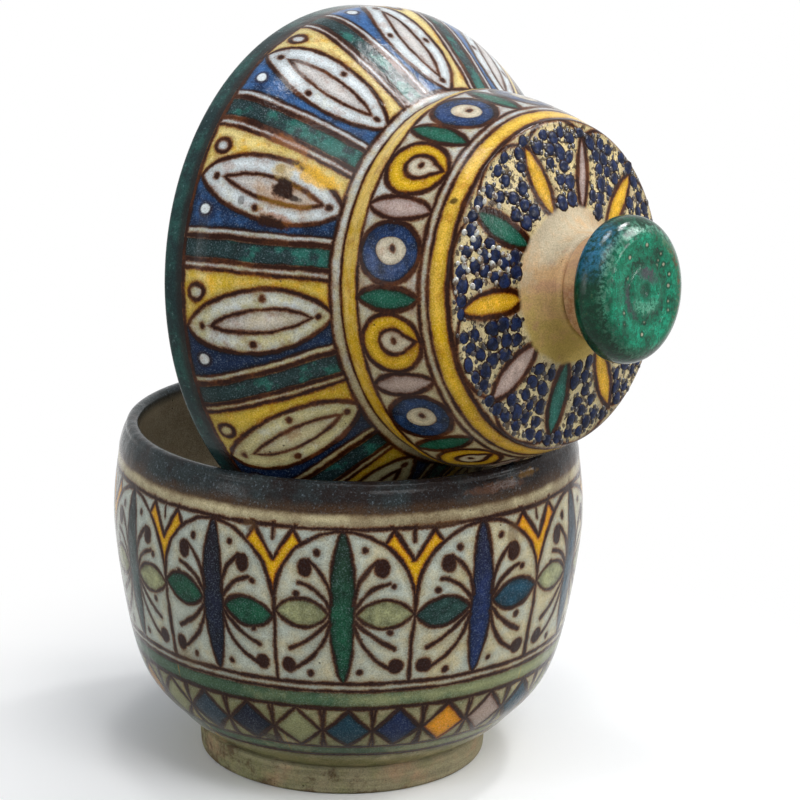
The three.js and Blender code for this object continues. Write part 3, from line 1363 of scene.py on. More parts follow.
    def dress(self) -> bpy.types.Material:
        """Paints the bowl from its foot over the lip to its inside.

        Returns:
            The finished material.
        """
        easel = self.easel
        height = self.arc + self.stray_y * 0.45
        lean = (self.angle().math("SINE") + 1) * (self.LEAN / 360)
        index, place = self.repeat(self.bearing() + self.FIRST_CELL - lean, self.CELLS)
        whim = easel.whim(index + 3.7)
        y = self.arc - self.ARCADE_FOOT + self.stray_y * 0.8
        x = place * self.CELL_WIDTH + self.stray_x * 0.75 + (y - 33) * whim * 0.03
        # right is 1 on the bowl's right side. It leans the ground warmer and the green bands paler there as
        # painted light, turns the rim greyer on the left as a painted sheen, and makes the cream stripe's
        # stain heavier on the right.
        right = self.angle().math("COSINE") * 0.12
        ground = self.mottled(Tone.TIN, Tone.CREAM, right - 0.04)
        low = self.mottled(Tone.OLIVE, Tone.CREAM, right - 0.12)
        green = self.mottled(Tone.BAND_GREEN, Tone.BAND_GREEN_LIT, right * 2.6 - 0.04)
        colour = easel.coat(low, ground, height, *self.GROUND_START)
        for foot, top in self.GREEN_BANDS:
            colour = easel.over(colour, green, easel.span(height, foot, top))
        colour, arcade_lines = self.arcade(colour, x, y, index, whim * 0.22)
        colour, lozenge_lines = self.lozenges(colour)
        lines = arcade_lines.least(lozenge_lines)
        lines = self.ruled(lines, height, self.LINES)
        colour = easel.over(colour, Tone.CREAM, easel.span(height, *self.CREAM_STRIPE))
        colour = self.inked(colour, lines)
        worn = easel.noise(16, 4, 0.65)
        stained = easel.span(height, 130.3, 136.0) * easel.step(worn + right * 0.5, 0.42, 0.66)
        colour = easel.over(colour, Tone.SOIL, stained * 0.5)
        # The rim turns grey on its left side: partly grey glaze, partly a painted bluish sheen.
        rim = easel.coat(Tone.RIM_BROWN, Tone.RIM_GREY_AND_SHEEN, worn - right, 0.42, 0.7, 0.8)
        rim = easel.coat(rim, Tone.SOIL, height + worn * 6, 144.0, 138.5, 0.5)
        # Pale specks on the rim: partly pale grains in the glaze, partly painted sparkle.
        rim = easel.coat(rim, Tone.SPECK, easel.noise(1.1, 3, 0.7) + worn * 0.2, 0.66, 0.86, 0.4)
        colour = easel.coat(colour, Tone.SOIL, height + worn * 3, 134.2, 137.5, 0.9)
        colour = easel.coat(colour, rim, height + worn * 1.5, *self.RIM_START)
        khaki = easel.over(Tone.KHAKI, Tone.SOIL, worn * 0.6)
        colour = easel.coat(colour, khaki, height + worn * 3, *self.KHAKI_START)
        colour = self.blemished(colour, self.BLEMISHES, self.GIRTH)
        bare = easel.step(height + worn * 2, *self.CLAY_END)
        colour = easel.over(colour, Tone.FOOT_CLAY, bare)
        return self.fired(colour, bare)


class ClayPaint(PaintedSurface):
    """The bare buff clay of the foot ring, with dark patches, painted shade on its left side and dark specks.
    """

    def dress(self) -> bpy.types.Material:
        """Colours the clay, with painted shade on its left side.

        Returns:
            The finished material.
        """
        easel = self.easel
        cloud = easel.noise(17, 4, 0.62)
        speck = easel.noise(2.1, 3, 0.7)
        # Painted shade: the foot is painted darker on its left side and paler on its right; the dark patches
        # also gather towards the bottom edge.
        left = self.angle().math("COSINE") * -0.07
        colour = self.mottled(Tone.OLIVE, Tone.FOOT_CLAY, left * -2 + 0.06)
        colour = easel.coat(colour, Tone.CLAY_PINK, cloud, 0.5, 0.72, 0.5)
        shade_and_dark_patches = easel.noise(9, 5, 0.7) + left + easel.step(self.arc, 5.0, 0.5) * 0.06
        colour = easel.coat(colour, Tone.CLAY_DARK, shade_and_dark_patches, 0.5, 0.68, 0.85)
        colour = easel.coat(colour, Tone.BURNT, speck, 0.66, 0.74, 0.8)
        return self.fired(colour)


@dataclass(frozen=True)
class PlatePetals:
    """The petals of the lid's plate, which crowd towards one side, in degrees and millimetres."""

    count: int = 10
    first: float = 232.5
    crowded_at: float = 212
    crowding: float = 4.6
    half_width: float = 4.7
    foot: float = 128.2
    tip: float = 158.5
    roundness: float = 0.72


PLATE_PETALS = PlatePetals()


class LidPaint(PaintedSurface):
    """The lid's painted glaze: rim, dome petals, rings and lenses, plate and bare stem."""

    SECTORS = 12
    FIRST_PETAL = 240.8
    CROWDED_AT = 240
    CROWDING = 0.0385
    PAIRS = 13
    FIRST_RING = 196.8
    RING_STEP = 36.2
    SLIM_PETAL = 8
    RIM_END = (8.3, 7.9)
    DOME_END = (67.6, 68.3)
    WAIST_GOLD = (73.0, 83.4)
    PLATE_GOLD = (114.9, 121.2)
    PLATE_START = (122.4, 123.2)
    CLAY_START = (156.0, 158.5)
    INSIDE_START = (-6.0, -8.0)
    GIRTH = 88.0
    STRIPE_LINES = [(-8.6, 0.6), (-5.2, 2.3), (4.0, 2.0), (7.2, 1.6)]
    PETAL_DOTS = [
        Blob(0, 63, 2.5, 2.7),
        Blob(0, 17.3, 2.7, 2.5),
        Blob(-8.6, 41, 2.8, 2.6),
        Blob(8.6, 36, 2.8, 2.6),
    ]
    RINGS = [Tone.RING_BLUE, Tone.RING_YELLOW]
    LENSES = [Tone.JADE, Tone.MAUVE]
    PETALS = tones("JADE AMBER MAUVE STRIPE_JADE AMBER MAUVE JADE AMBER MAUVE AMBER")
    LINES = [(8.9, 1.9), (68.0, 1.4), (72.7, 1.3), (83.8, 1.4), (110.6, 1.5), (114.2, 1.3), (122.2, 2.4)]
    BLEMISHES = [
        Blemish(234.5, 55, 9, 20, Tone.AMBER, 0.8, 1.8),
        Blemish(236, 43, 7, 10, Tone.PEACH, 0.55, 1.8),
        Blemish(229, 40, 5, 18, Tone.RUST, 0.5, 2.2),
        Blemish(242, 45, 15, 24, Tone.OCHRE, 0.3, 2.0),
        Blemish(240.5, 44, 8, 10, Tone.RUST, 0.6, 2.0),
        Blemish(247.5, 44, 6, 14, Tone.RUST, 0.65, 2.0),
        Blemish(240, 44, 8, 8.5, Tone.BURNT, 0.98, 2.2),
        Blemish(241.5, 49.5, 3, 7, Tone.BURNT, 0.9, 1.8),
        Blemish(248.5, 43, 5.5, 12, Tone.BURNT, 0.95, 2.2),
        Blemish(245, 30, 3, 3, Tone.BURNT, 0.6, 1.8),
        Blemish(233, 117.5, 5, 4, Tone.BURNT, 0.85, 2.0),
        Blemish(250, 182, 16, 7, Tone.RUST, 0.8, 2.4),
        Blemish(262, 168, 26, 12, Tone.CLAY_PINK, 0.6),
        Blemish(300, 170, 18, 14, Tone.CLAY_OLIVE, 0.5),
    ]

    def dome(self, girth: Field, fall: Field) -> tuple[object, Field]:
        """The dome's sectors: each petal between yellow and blue, and the stripes between petals.

        Args:
            girth: The radius in millimetres.
            fall: How far the place lies on the lower side, from -1 to 1, where the glazes are painted darker
                and warmer, partly as painted shade.

        Returns:
            The colour and the distance to the nearest line.
        """
        easel = self.easel
        swing = self.angle(self.CROWDED_AT).math("SINE") * (self.CROWDING / FULL_TURN)
        turns = self.bearing() - swing - self.FIRST_PETAL / 360
        petal = self.repeat(turns, self.SECTORS)[1]
        stripes = self.repeat(turns + 0.5 / self.SECTORS, self.SECTORS)[1]
        reach = girth * (FULL_TURN / self.SECTORS)
        x = petal * reach + self.stray_x * 0.8
        m = stripes * reach + self.stray_x * 0.8
        y = self.arc + self.stray_y * 0.8
        # Painted shade: towards the lower side the whites turn mellow, the yellows olive and the blues deep,
        # partly the glazes' own drift and partly painted shade and warm bounce light.
        white = self.mottled(Tone.WHITE, Tone.MELLOW, fall * 0.3, 9)
        yellow = self.mottled(Tone.LEMON, Tone.YELLOW, fall * 0.3 + 0.08, 9)
        patch = easel.noise(7, 3, 0.6)
        yellow = easel.coat(yellow, Tone.AMBER, patch, 0.52, 0.7, 0.75)
        pale = easel.step(y + patch * 20, 50, 26) * easel.step(fall, 0.1, 0.7)
        yellow = easel.over(yellow, Tone.OLIVE_GOLD, pale * 0.8)
        blue = self.mottled(Tone.BLUE, Tone.DEEP_BLUE, fall * 0.35 + 0.22, 8)
        grounds = easel.coat(yellow, blue, x, -0.3, 0.3)
        jade = patch - fall * 0.06 + (y - 40) * 0.003
        green = easel.coat(Tone.STRIPE_GREEN, Tone.STRIPE_JADE, jade, 0.51, 0.68, 0.9)
        stripe = easel.over(white, green, easel.span(m, -4.2, 3.2, 0.4))
        colour = easel.over(grounds, stripe, easel.span(m, -8.2, 6.8, 0.4))
        body = self.leaf(x, y, 12.2, 10.6, 68.6, 0.72)
        heart = self.leaf(x, y, 4.5, 21.5, 60.0, 0.85)
        colour = easel.over(colour, white, easel.inside(body))
        colour = easel.over(colour, Tone.PINK, easel.inside(heart) * easel.step(fall, 0.9, 0.1) * 0.6)
        halo = self.oval(x, y, Blob(12.8, 16, 6.6, 6.6))
        pearl = self.oval(x, y, Blob(12.8, 16, 3.9, 3.9))
        drop = self.oval(x, y, Blob(-12.4, 15.5, 5.6, 6.6))
        colour = easel.coat(colour, Tone.BURNT, halo, 0.8, -0.8, 0.75)
        colour = easel.coat(colour, Tone.WHITE, pearl, 0.4, -0.4)
        colour = easel.coat(colour, white, drop, 0.0, -0.6)
        lines = (abs(body) - 0.85).least(abs(heart) - 0.65).least(abs(drop) - 0.9)
        lines = self.dotted(self.ruled(lines, m, self.STRIPE_LINES), x, y, self.PETAL_DOTS)
        return colour, lines.most(abs(y - 38.3) - 30.2)

    def rings(self, colour: object) -> tuple[object, Field]:
        """The band of rings and lenses round the drum.

        Args:
            colour: The colour below.

        Returns:
            The colour and the distance to the nearest line.
        """
        easel = self.easel
        turns = self.bearing() - self.FIRST_RING / 360
        ring, across_ring = self.repeat(turns, self.PAIRS)
        gap, across_gap = self.repeat(turns - 0.5 / self.PAIRS, self.PAIRS)
        is_yellow = ring.math("FLOORED_MODULO", 2.0)
        x = across_ring * self.RING_STEP + self.stray_x * 0.7
        u = across_gap * self.RING_STEP + self.stray_x * 0.7
        y = self.arc + self.stray_y * 0.7
        outer = self.oval(x, y, Blob(0, 97.0, 24.4, 25.4))
        lens = self.leaf(u, y, 4.9, 84.0, 110.4, 0.72)
        centre = self.oval(x, y - is_yellow * 0.6, Blob(-0.6, 97.5, 10.6, 12.4))
        centre = centre.least(self.leaf(x + 0.6, y, 3.6, 92, 107.5, 0.9) + (1 - is_yellow) * 9)
        fill = easel.by_index(is_yellow, self.RINGS)
        fill = self.mottled(fill, Tone.DEEP_BLUE, is_yellow * -1 + 0.04, 6)
        colour = easel.over(colour, fill, easel.inside(outer))
        fill = easel.by_index(gap.math("FLOORED_MODULO", 2.0), self.LENSES)
        colour = easel.over(colour, fill, easel.inside(lens))
        colour = easel.over(colour, Tone.RING_CREAM, easel.inside(centre))
        pupil = self.oval(x, y, Blob(-1.4, 98.2, 2.8, 2.2))
        lines = (abs(outer) - 1.0).least(abs(lens) - 1.0)
        lines = lines.least(abs(centre) - is_yellow * 1.3 + 0.4).least(pupil)
        return colour, lines.most(abs(y - 97.2) - 13.6)

    def plate(self, colour: object, girth: Field) -> tuple[object, Field]:
        """The petals and scallops of the top plate.

        Args:
            colour: The colour below.
            girth: The radius in millimetres.

        Returns:
            The colour and the distance to the nearest line.
        """
        easel = self.easel
        petals = PLATE_PETALS
        swing = self.angle(petals.crowded_at).math("COSINE")
        turns = self.bearing() - (1 - swing) * (petals.crowding / 360) - petals.first / 360
        index, place = self.repeat(turns, petals.count)
        x = place * girth * (FULL_TURN / petals.count) + self.stray_x * 0.7
        y = self.arc + self.stray_y * 0.6
        slim = easel.step(abs(index - self.SLIM_PETAL), 0.6, 0.4)
        petal = self.leaf(x, y, petals.half_width - slim * 1.6, petals.foot, petals.tip, petals.roundness)
        fill = easel.shade(easel.by_index(index, self.PETALS), easel.noise(4, 3, 0.6) * 1.2 + 0.45)
        colour = easel.over(colour, fill, easel.inside(petal))
        near = 1 - abs(place) * 2
        scallop = abs(y - 122.6 - near * near * 6.0) - 0.8
        lines = (abs(petal) - 1.0).least(scallop.most(y * -1 + 122))
        return colour, lines.most(abs(y - 141) - 19.5)

    def dress(self) -> bpy.types.Material:
        """Paints the lid from its rim to its stem, and its inside.

        Returns:
            The finished material.
        """
        easel = self.easel
        girth = easel.wrap("girth")[0]
        height = self.arc + self.stray_y * 0.45
        # fall is 1 on the lid's lower side; the grounds, golds and plate below lean warmer and deeper there,
        # partly as painted shade.
        fall = self.angle().math("COSINE")
        colour, dome_lines = self.dome(girth, fall)
        ground = self.mottled(Tone.WHITE, Tone.CREAM, fall * 0.2 + 0.12, 8)
        gold = self.mottled(Tone.BURNISHED, Tone.RING_YELLOW, fall * 0.2, 10)
        colour = easel.coat(colour, ground, height, *self.DOME_END)
        # Painted light: the gold band in the concave waist is painted paler than the plate's gold, to lift
        # the shade that falls in the waist.
        lit_waist_gold = self.mottled(Tone.LIT_WAIST_GOLD, Tone.RING_YELLOW, fall * 0.25 + 0.06, 10)
        colour = easel.over(colour, lit_waist_gold, easel.span(height, *self.WAIST_GOLD))
        colour, ring_lines = self.rings(colour)
        colour = easel.over(colour, gold, easel.span(height, *self.PLATE_GOLD))
        plate = self.mottled(Tone.PEACH, Tone.CREAM, fall * 0.1, 6)
        colour = easel.coat(colour, plate, height, *self.PLATE_START)
        daub = easel.step(easel.noise(2.6, 2, 0.6), 0.53, 0.58) * easel.span(height, 123.5, 156.0, 1.2)
        wash = easel.step(easel.noise(6, 3, 0.6), 0.5, 0.7) * 0.4
        colour = easel.over(colour, Tone.INK_WASH, wash, Lay.WASH)
        colour = easel.over(colour, Tone.INK, daub * 0.85)
        colour, plate_lines = self.plate(colour, girth)
        lines = dome_lines.least(ring_lines).least(plate_lines)
        lines = self.ruled(lines, height, self.LINES)
        worn = easel.noise(15, 4, 0.65)
        bare = easel.step(height + worn * 5 - 2.5, *self.CLAY_START)
        lines = lines.most(height * -1 + 7.8)
        colour = self.inked(colour, lines, Tone.INK_RUST)
        speck = easel.noise(1.6, 3, 0.7)
        teal = easel.coat(Tone.RIM_TEAL, Tone.RIM_GREEN, worn + speck * 0.5, 0.68, 0.9, 0.7)
        teal = easel.coat(teal, Tone.SPECK, speck, 0.6, 0.75, 0.4)
        teal = easel.coat(teal, Tone.RIM_BROWN, height + speck * 3, 5.0, 8.4, 0.8)
        colour = easel.coat(colour, teal, height, *self.RIM_END)
        # The stem's clay is painted olive and darker on its lower side as painted shade, and paler on its
        # upper side as a painted sheen, over its own mottling.
        clay = self.mottled(Tone.CLAY, Tone.CLAY_OLIVE, fall * 0.34 - 0.1, 13)
        clay = easel.coat(clay, Tone.CLAY_WHITE, worn - fall * 0.3, 0.56, 0.86, 0.8)
        clay = easel.coat(clay, Tone.CLAY_PINK, easel.noise(9, 4, 0.7), 0.54, 0.68, 0.5)
        clay = easel.coat(clay, Tone.BURNT, easel.noise(2.3, 3, 0.7), 0.68, 0.75, 0.6)
        colour = easel.over(colour, clay, bare)
        colour = self.blemished(colour, self.BLEMISHES, self.GIRTH)
        inside = easel.step(height, *self.INSIDE_START)
        colour = easel.over(colour, easel.over(Tone.KHAKI, Tone.SOIL, worn * 0.8), inside)
        return self.fired(colour, bare)


class KnobPaint(PaintedSurface):
    """The knob's emerald glaze, dark on its side and bright on its face, over a bare clay neck."""

    FACE_START = (51.5, 57.5)
    CLAY_END = (38.0, 35.5)

    def towards(self, bearing: float, low: float) -> Field:
        """A soft mask on the side that lies at a bearing in degrees, from a cosine of low upwards."""
        return self.easel.step(self.angle(bearing).math("COSINE"), low, 1.0)

    def dress(self) -> bpy.types.Material:
        """Glazes the knob.

        Returns:
            The finished material.
        """
        easel = self.easel
        cloud = easel.noise(9, 4, 0.65)
        fine = easel.noise(2.0, 4, 0.72)
        height = self.arc + (cloud - 0.5) * 4
        side = easel.coat(Tone.DEEP_EMERALD, Tone.EMERALD, fine + cloud * 0.5, 0.66, 0.95, 0.5)
        # Blue on the knob's upper left: partly blue in the glaze, partly a painted sheen.
        blue = self.towards(226, 0.84) * easel.step(height + fine * 6, 58.0, 47.0)
        side = easel.over(side, Tone.KNOB_BLUE_AND_SHEEN, blue * easel.step(fine, 0.34, 0.62) * 0.8)
        side = easel.over(side, Tone.SOIL, self.towards(290, 0.3) * easel.step(fine, 0.56, 0.7) * 0.4)
        face = easel.coat(Tone.EMERALD, Tone.BRIGHT_EMERALD, fine, 0.44, 0.6)
        face = easel.coat(face, Tone.DEEP_EMERALD, cloud + fine, 1.0, 1.16, 0.85)
        colour = easel.coat(side, face, height + fine * 5, *self.FACE_START)
        # The pale edge is where the glaze runs thin on the shoulder; it is painted stronger on the upper side
        # as a painted highlight.
        worn = easel.span(height, 49.0, 53.5, 1.6) * easel.step(fine, 0.42, 0.64)
        colour = easel.over(colour, Tone.PALE_EMERALD, worn * (self.towards(196, -0.2) * 0.3 + 0.14))
        streak = self.towards(100, 0.3) * easel.span(height, 52.5, 56.0, 1.0)
        colour = easel.over(colour, Tone.SOIL, streak * easel.step(fine, 0.4, 0.6) * 0.8)
        groove = easel.span(self.arc + (fine - 0.5) * 8, 63.0, 66.8, 1.4)
        colour = easel.over(colour, Tone.DEEP_EMERALD, groove * easel.step(fine, 0.38, 0.58) * 0.9)
        grey = self.towards(160, 0.35) * easel.span(self.arc + (fine - 0.5) * 5, 67.5, 72.0, 0.8)
        grey = grey.most(self.towards(285, 0.6) * easel.span(self.arc + fine * 3, 65.0, 67.5, 0.8) * 0.8)
        colour = easel.over(colour, Tone.GREY_PATCH, grey * easel.step(cloud * 0.5 + fine, 0.55, 0.75) * 0.9)
        thin = self.towards(350, 0.2) * easel.span(self.arc + (fine - 0.5) * 6, 67.0, 71.5, 1.2)
        colour = easel.over(colour, Tone.PALE_EMERALD, thin * easel.step(fine, 0.36, 0.6) * 0.45)
        colour = easel.coat(colour, Tone.DEEP_EMERALD, self.arc + fine * 3, 73.0, 75.6, 0.8)
        away = easel.field(easel.texture("ShaderNodeTexVoronoi", 4.4).outputs["Distance"])
        ring = easel.span(self.arc, 57.6, 64.0, 0.8)
        colour = easel.over(colour, Tone.DEEP_EMERALD, easel.step(away, 0.42, 0.25) * ring * 0.7)
        colour = easel.over(colour, Tone.CLAY_WHITE, easel.step(away, 0.21, 0.12) * ring * 0.65)
        bare = easel.step(height + fine * 4, *self.CLAY_END)
        clay = easel.coat(Tone.CLAY, Tone.CLAY_PINK, cloud, 0.4, 0.7)
        clay = easel.coat(clay, Tone.SOIL, height + fine * 6, 31.0, 37.0, 0.7)
        clay = easel.over(clay, Tone.RUST, self.towards(300, 0.4) * easel.step(fine, 0.4, 0.6) * 0.6)
        return self.fired(easel.over(colour, clay, bare), bare)


class SpotPaint(PaintedSurface):
    """The thick glaze of the plate's raised spots and beads."""

    def dress(self, tone: Tone, deep: Tone) -> bpy.types.Material:
        """Colours the spots from one tone to a deeper one.

        Args:
            tone: The usual tone.
            deep: The deeper one.

        Returns:
            The finished material.
        """
        easel = self.easel
        cloud = easel.noise(3, 3, 0.6)
        return self.fired(easel.over(tone, deep, easel.step(cloud, 0.42, 0.56)))


GLOSSY = Finish(roughness=0.1, specular=0.1, grain=1.65, pitting=1.0, crazing=0.2, rings=0.1)
LIP_GLOSS = replace(GLOSSY, roughness=0.11, specular=0.09, specks=0.05, rings=0.2)
EARTHY = Finish(roughness=0.8, specular=0.15, relief=1.0, cloud=0.7, specks=0.1, rings=0.9)
POOLED = Finish(0.13, 0.18, relief=0.7, grain=1.4, cloud=0.8, crazing=0.2, specks=0.03, rings=0.2)
FLAT_SPOT = Finish(roughness=0.2, specular=0.08, relief=0.6, cloud=0.8, pitting=0.0, specks=0.05)
BEADED = Finish(roughness=0.08, specular=0.5, relief=0.1, grain=1.0, pitting=0.0, specks=0.05)


@dataclass
class Bowl:
    """The bowl's wall with its floor and lip, and the foot ring below, in millimetres."""

    height: float = 146.6
    belly: Vector = kept_at(99.97, 101)
    hip: Vector = kept_at(90.6, 46.4)
    heel: Vector = kept_at(73.8, 22.6)
    neck: Vector = kept_at(97.7, 136)
    lip_radius: float = 92.1
    lip_thickness: float = 5.6
    lip_curl: float = 1.4
    wall: float = 6.6
    underside: Vector = kept_at(61, 12.5)
    floor: Vector = kept_at(46, 20.5)
    floor_cove: Vector = kept_at(9, 2.5)
    foot_radius: float = 62.5
    foot_height: float = 12.2
    foot_width: float = 11
    foot_draft: float = 0.9
    foot_edge: float = 1.8
    steps: int = 176
    foot_steps: int = 144

    def outline(self) -> Outline:
        """The closed profile of wall and floor, from the underside's middle to the floor's.

        Returns:
            The profile.
        """
        outside = through([self.underside, self.heel, self.hip, self.belly, self.neck], 22)
        half = self.lip_thickness / 2
        outer = at(self.lip_radius + half, self.height - half)
        top = at(self.lip_radius, self.height)
        inner = at(self.lip_radius - half, self.height - half)
        lip = [
            *bent(self.neck, at(outer.x + self.lip_curl, outer.y - self.lip_curl), outer),
            *bent(outer, at(outer.x, self.height), top),
            *bent(top, at(inner.x, self.height), inner),
        ]
        inside = [p for p in inset(outside, self.wall) if p.y > self.floor.y + self.floor_cove.y][::-1]
        cove = bent(inside[-1], at(inside[-1].x - self.floor_cove.x, self.floor.y), self.floor)
        below = straight(at(0, self.underside.y), self.underside, 6)
        above = straight(self.floor, at(0, self.floor.y), 6)
        return Outline([*below, *outside, *lip, *inside, *cove, *above], self.underside)

    def foot_outline(self) -> Outline:
        """The closed profile of the foot ring.

        Returns:
            The profile.
        """
        top = at(self.foot_radius, self.foot_height)
        toe = at(self.foot_radius - self.foot_draft, 0)
        inner_top = at(self.foot_radius - self.foot_width - self.foot_draft, self.foot_height)
        inner_toe = at(self.foot_radius - self.foot_width, 0)
        toes = eased(inner_toe, toe, top, self.foot_edge)
        inner_toes = eased(inner_top, inner_toe, toe, self.foot_edge)
        sides = [*toes, *straight(toes[-1], top, 5), *straight(top, inner_top, 4)]
        return Outline([*sides, *straight(inner_top, inner_toes[0], 5), *inner_toes, toes[0]], toes[0])

    def build(self, stand: Stand, foot_stand: Stand) -> list[bpy.types.Object]:
        """Makes the wall and the foot ring.

        Args:
            stand: Where the bowl's axis stands.
            foot_stand: Where the foot ring's axis stands.

        Returns:
            Both pieces, riding on the bowl.
        """
        paint = BowlPaint("bowl glaze", LIP_GLOSS).dress()
        wall = turned("glazed_bowl_wall", self.outline(), stand, self.steps, paint)
        clay = ClayPaint("bare clay", EARTHY).dress()
        foot = turned("bare_foot_ring", self.foot_outline(), foot_stand, self.foot_steps, clay)
        for thing, node, slot in ((wall, "bowl_wall", "bowl_glaze"), (foot, "foot_ring", "bare_clay")):
            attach(thing, "bowl")
            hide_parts(node)
        return [wall, foot]


@dataclass
class Lid:
    """The lid's shell from its rim to the top of its stem, in millimetres along its own axis."""

    rim_radius: float = 109.97
    rim_edge: float = 2.6
    shoulder: Vector = kept_at(109.37, 15)
    shoulder_pull: Vector = kept_at(-1.2, 15.5)
    waist: Vector = kept_at(73.4, 60.2)
    dome_pull: float = 15
    waist_pull: float = 4.2
    wall: float = 6.4
    bulge: Vector = kept_at(76.2, 69.6)
    drum_top: Vector = kept_at(64.9, 108.4)
    drum_bow: float = 3.4
    drum_wall: float = 6.6
    plate_edge: Vector = kept_at(60.7, 110.7)
    plate_thickness: float = 6.8
    hollow_corner: float = 8
    hollow_crown: float = 1.5
    crown: Vector = kept_at(31, 116.3)
    stem_radius: float = 21.4
    stem_height: float = 127.8
    stem_edge: float = 0.8
    steps: int = 176

    def outline(self) -> Outline:
        """The closed profile, from the hollow's middle over the rim to the stem's middle.

        Returns:
            The profile.
        """
        leave = self.shoulder + self.shoulder_pull
        arrive = self.waist + at(self.dome_pull, -self.dome_pull)
        dome = swept(self.shoulder, leave, arrive, self.waist, 44)
        hollow_radius = self.waist.x - self.drum_wall
        hollow_top = self.plate_edge.y - self.plate_thickness
        middle = at(0, hollow_top + self.hollow_crown)
        edge = at(self.drum_top.x - self.drum_wall, hollow_top)
        widest = at(hollow_radius, self.bulge.y)
        dome_inside = [p for p in inset(dome, self.wall) if p.x > hollow_radius + self.wall / 2][::-1]
        rim_inner = self.rim_radius - self.wall
        rim_middle = self.rim_radius - self.wall / 2
        start = at(self.rim_radius, self.rim_edge)
        corner = eased(middle, edge, widest, self.hollow_corner)
        inside = [
            *straight(middle, corner[0], 8),
            *corner,
            *straight(corner[-1], widest, 6),
            *straight(widest, at(hollow_radius, self.waist.y - self.wall), 4),
            *dome_inside,
            *bent(at(rim_inner, self.rim_edge), at(rim_inner, 0), at(rim_middle, 0)),
            *bent(at(rim_middle, 0), at(self.rim_radius, 0), start),
        ]
        drum_middle = self.bulge.lerp(self.drum_top, 0.5) + at(self.drum_bow, 0)
        stem_foot = at(self.stem_radius, self.crown.y + 1)
        stem_side = at(self.stem_radius, self.stem_height - self.stem_edge)
        stem_top = at(self.stem_radius - self.stem_edge, self.stem_height)
        outside = [
            *straight(start, self.shoulder, 5),
            *dome,
            *bent(self.waist, at(self.waist.x, self.waist.y + self.waist_pull), self.bulge, 14),
            *bent(self.bulge, drum_middle, self.drum_top, 26),
            *bent(self.drum_top, at(self.drum_top.x, self.plate_edge.y), self.plate_edge, 8),
            *straight(self.plate_edge, self.crown, 18),
            *bent(self.crown, stem_foot, stem_side, 14),
            stem_top,
            *straight(stem_top, at(0, self.stem_height), 3),
        ]
        return Outline([*inside, *outside], start)

    def build(self, stand: Stand) -> bpy.types.Object:
        """Makes the shell, riding on the lid.

        Args:
            stand: Where the lid's axis stands.

        Returns:
            The shell.
        """
        paint = LidPaint("lid glaze", GLOSSY).dress()
        shell = turned("glazed_lid_shell", self.outline(), stand, self.steps, paint)
        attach(shell, "lid")
        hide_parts("lid_shell")
        return shell


@dataclass
class Knob:
    """The knob on the stem: neck, flattened bun and a face with turning rings, in millimetres."""

    foot: float = 128.1
    neck_radius: float = 20.6
    neck_edge: float = 0.8
    waist: Vector = kept_at(19, 5.2)
    under: Vector = kept_at(24.8, 10.4)
    widest: Vector = kept_at(28.8, 15.6)
    shoulder_drop: float = 2.6
    face_radius: float = 21.6
    height: float = 24.6
    ring_radius: float = 12.5
    ring_width: float = 4
    ring_depth: float = 0.7
    steps: int = 128

    def outline(self) -> Outline:
        """The closed profile, from the luting line's middle to the face's.

        Returns:
            The profile.
        """
        base = at(0, self.foot)
        face = self.foot + self.height
        waist, under, widest = (base + p for p in (self.waist, self.under, self.widest))
        ring = at(self.ring_radius, face - self.ring_depth)
        rise = at(self.ring_radius - self.ring_width, face)
        edge = at(self.ring_radius + self.ring_width, face)
        return Outline(
            [
                *straight(base, at(self.neck_radius - self.neck_edge, self.foot), 3),
                at(self.neck_radius, self.foot + self.neck_edge),
                *bent(waist, at(waist.x, under.y), under, 10),
                *bent(under, at(widest.x, under.y), widest, 10),
                *bent(widest, at(widest.x, face - self.shoulder_drop), at(self.face_radius, face), 14),
                *straight(at(self.face_radius, face), edge, 3),
                *bent(edge, ring, rise, 8),
                *bent(rise, at(rise.x / 2, face), at(0, face - self.ring_depth), 8),
            ],
            base,
        )

    def build(self, stand: Stand) -> bpy.types.Object:
        """Makes the knob, riding on the lid.

        Args:
            stand: Where the lid's axis stands.

        Returns:
            The knob.
        """
        paint = KnobPaint("knob glaze", POOLED).dress()
        knob = turned("glazed_knob", self.outline(), stand, self.steps, paint)
        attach(knob, "lid")
        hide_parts("lid_knob")
        return knob


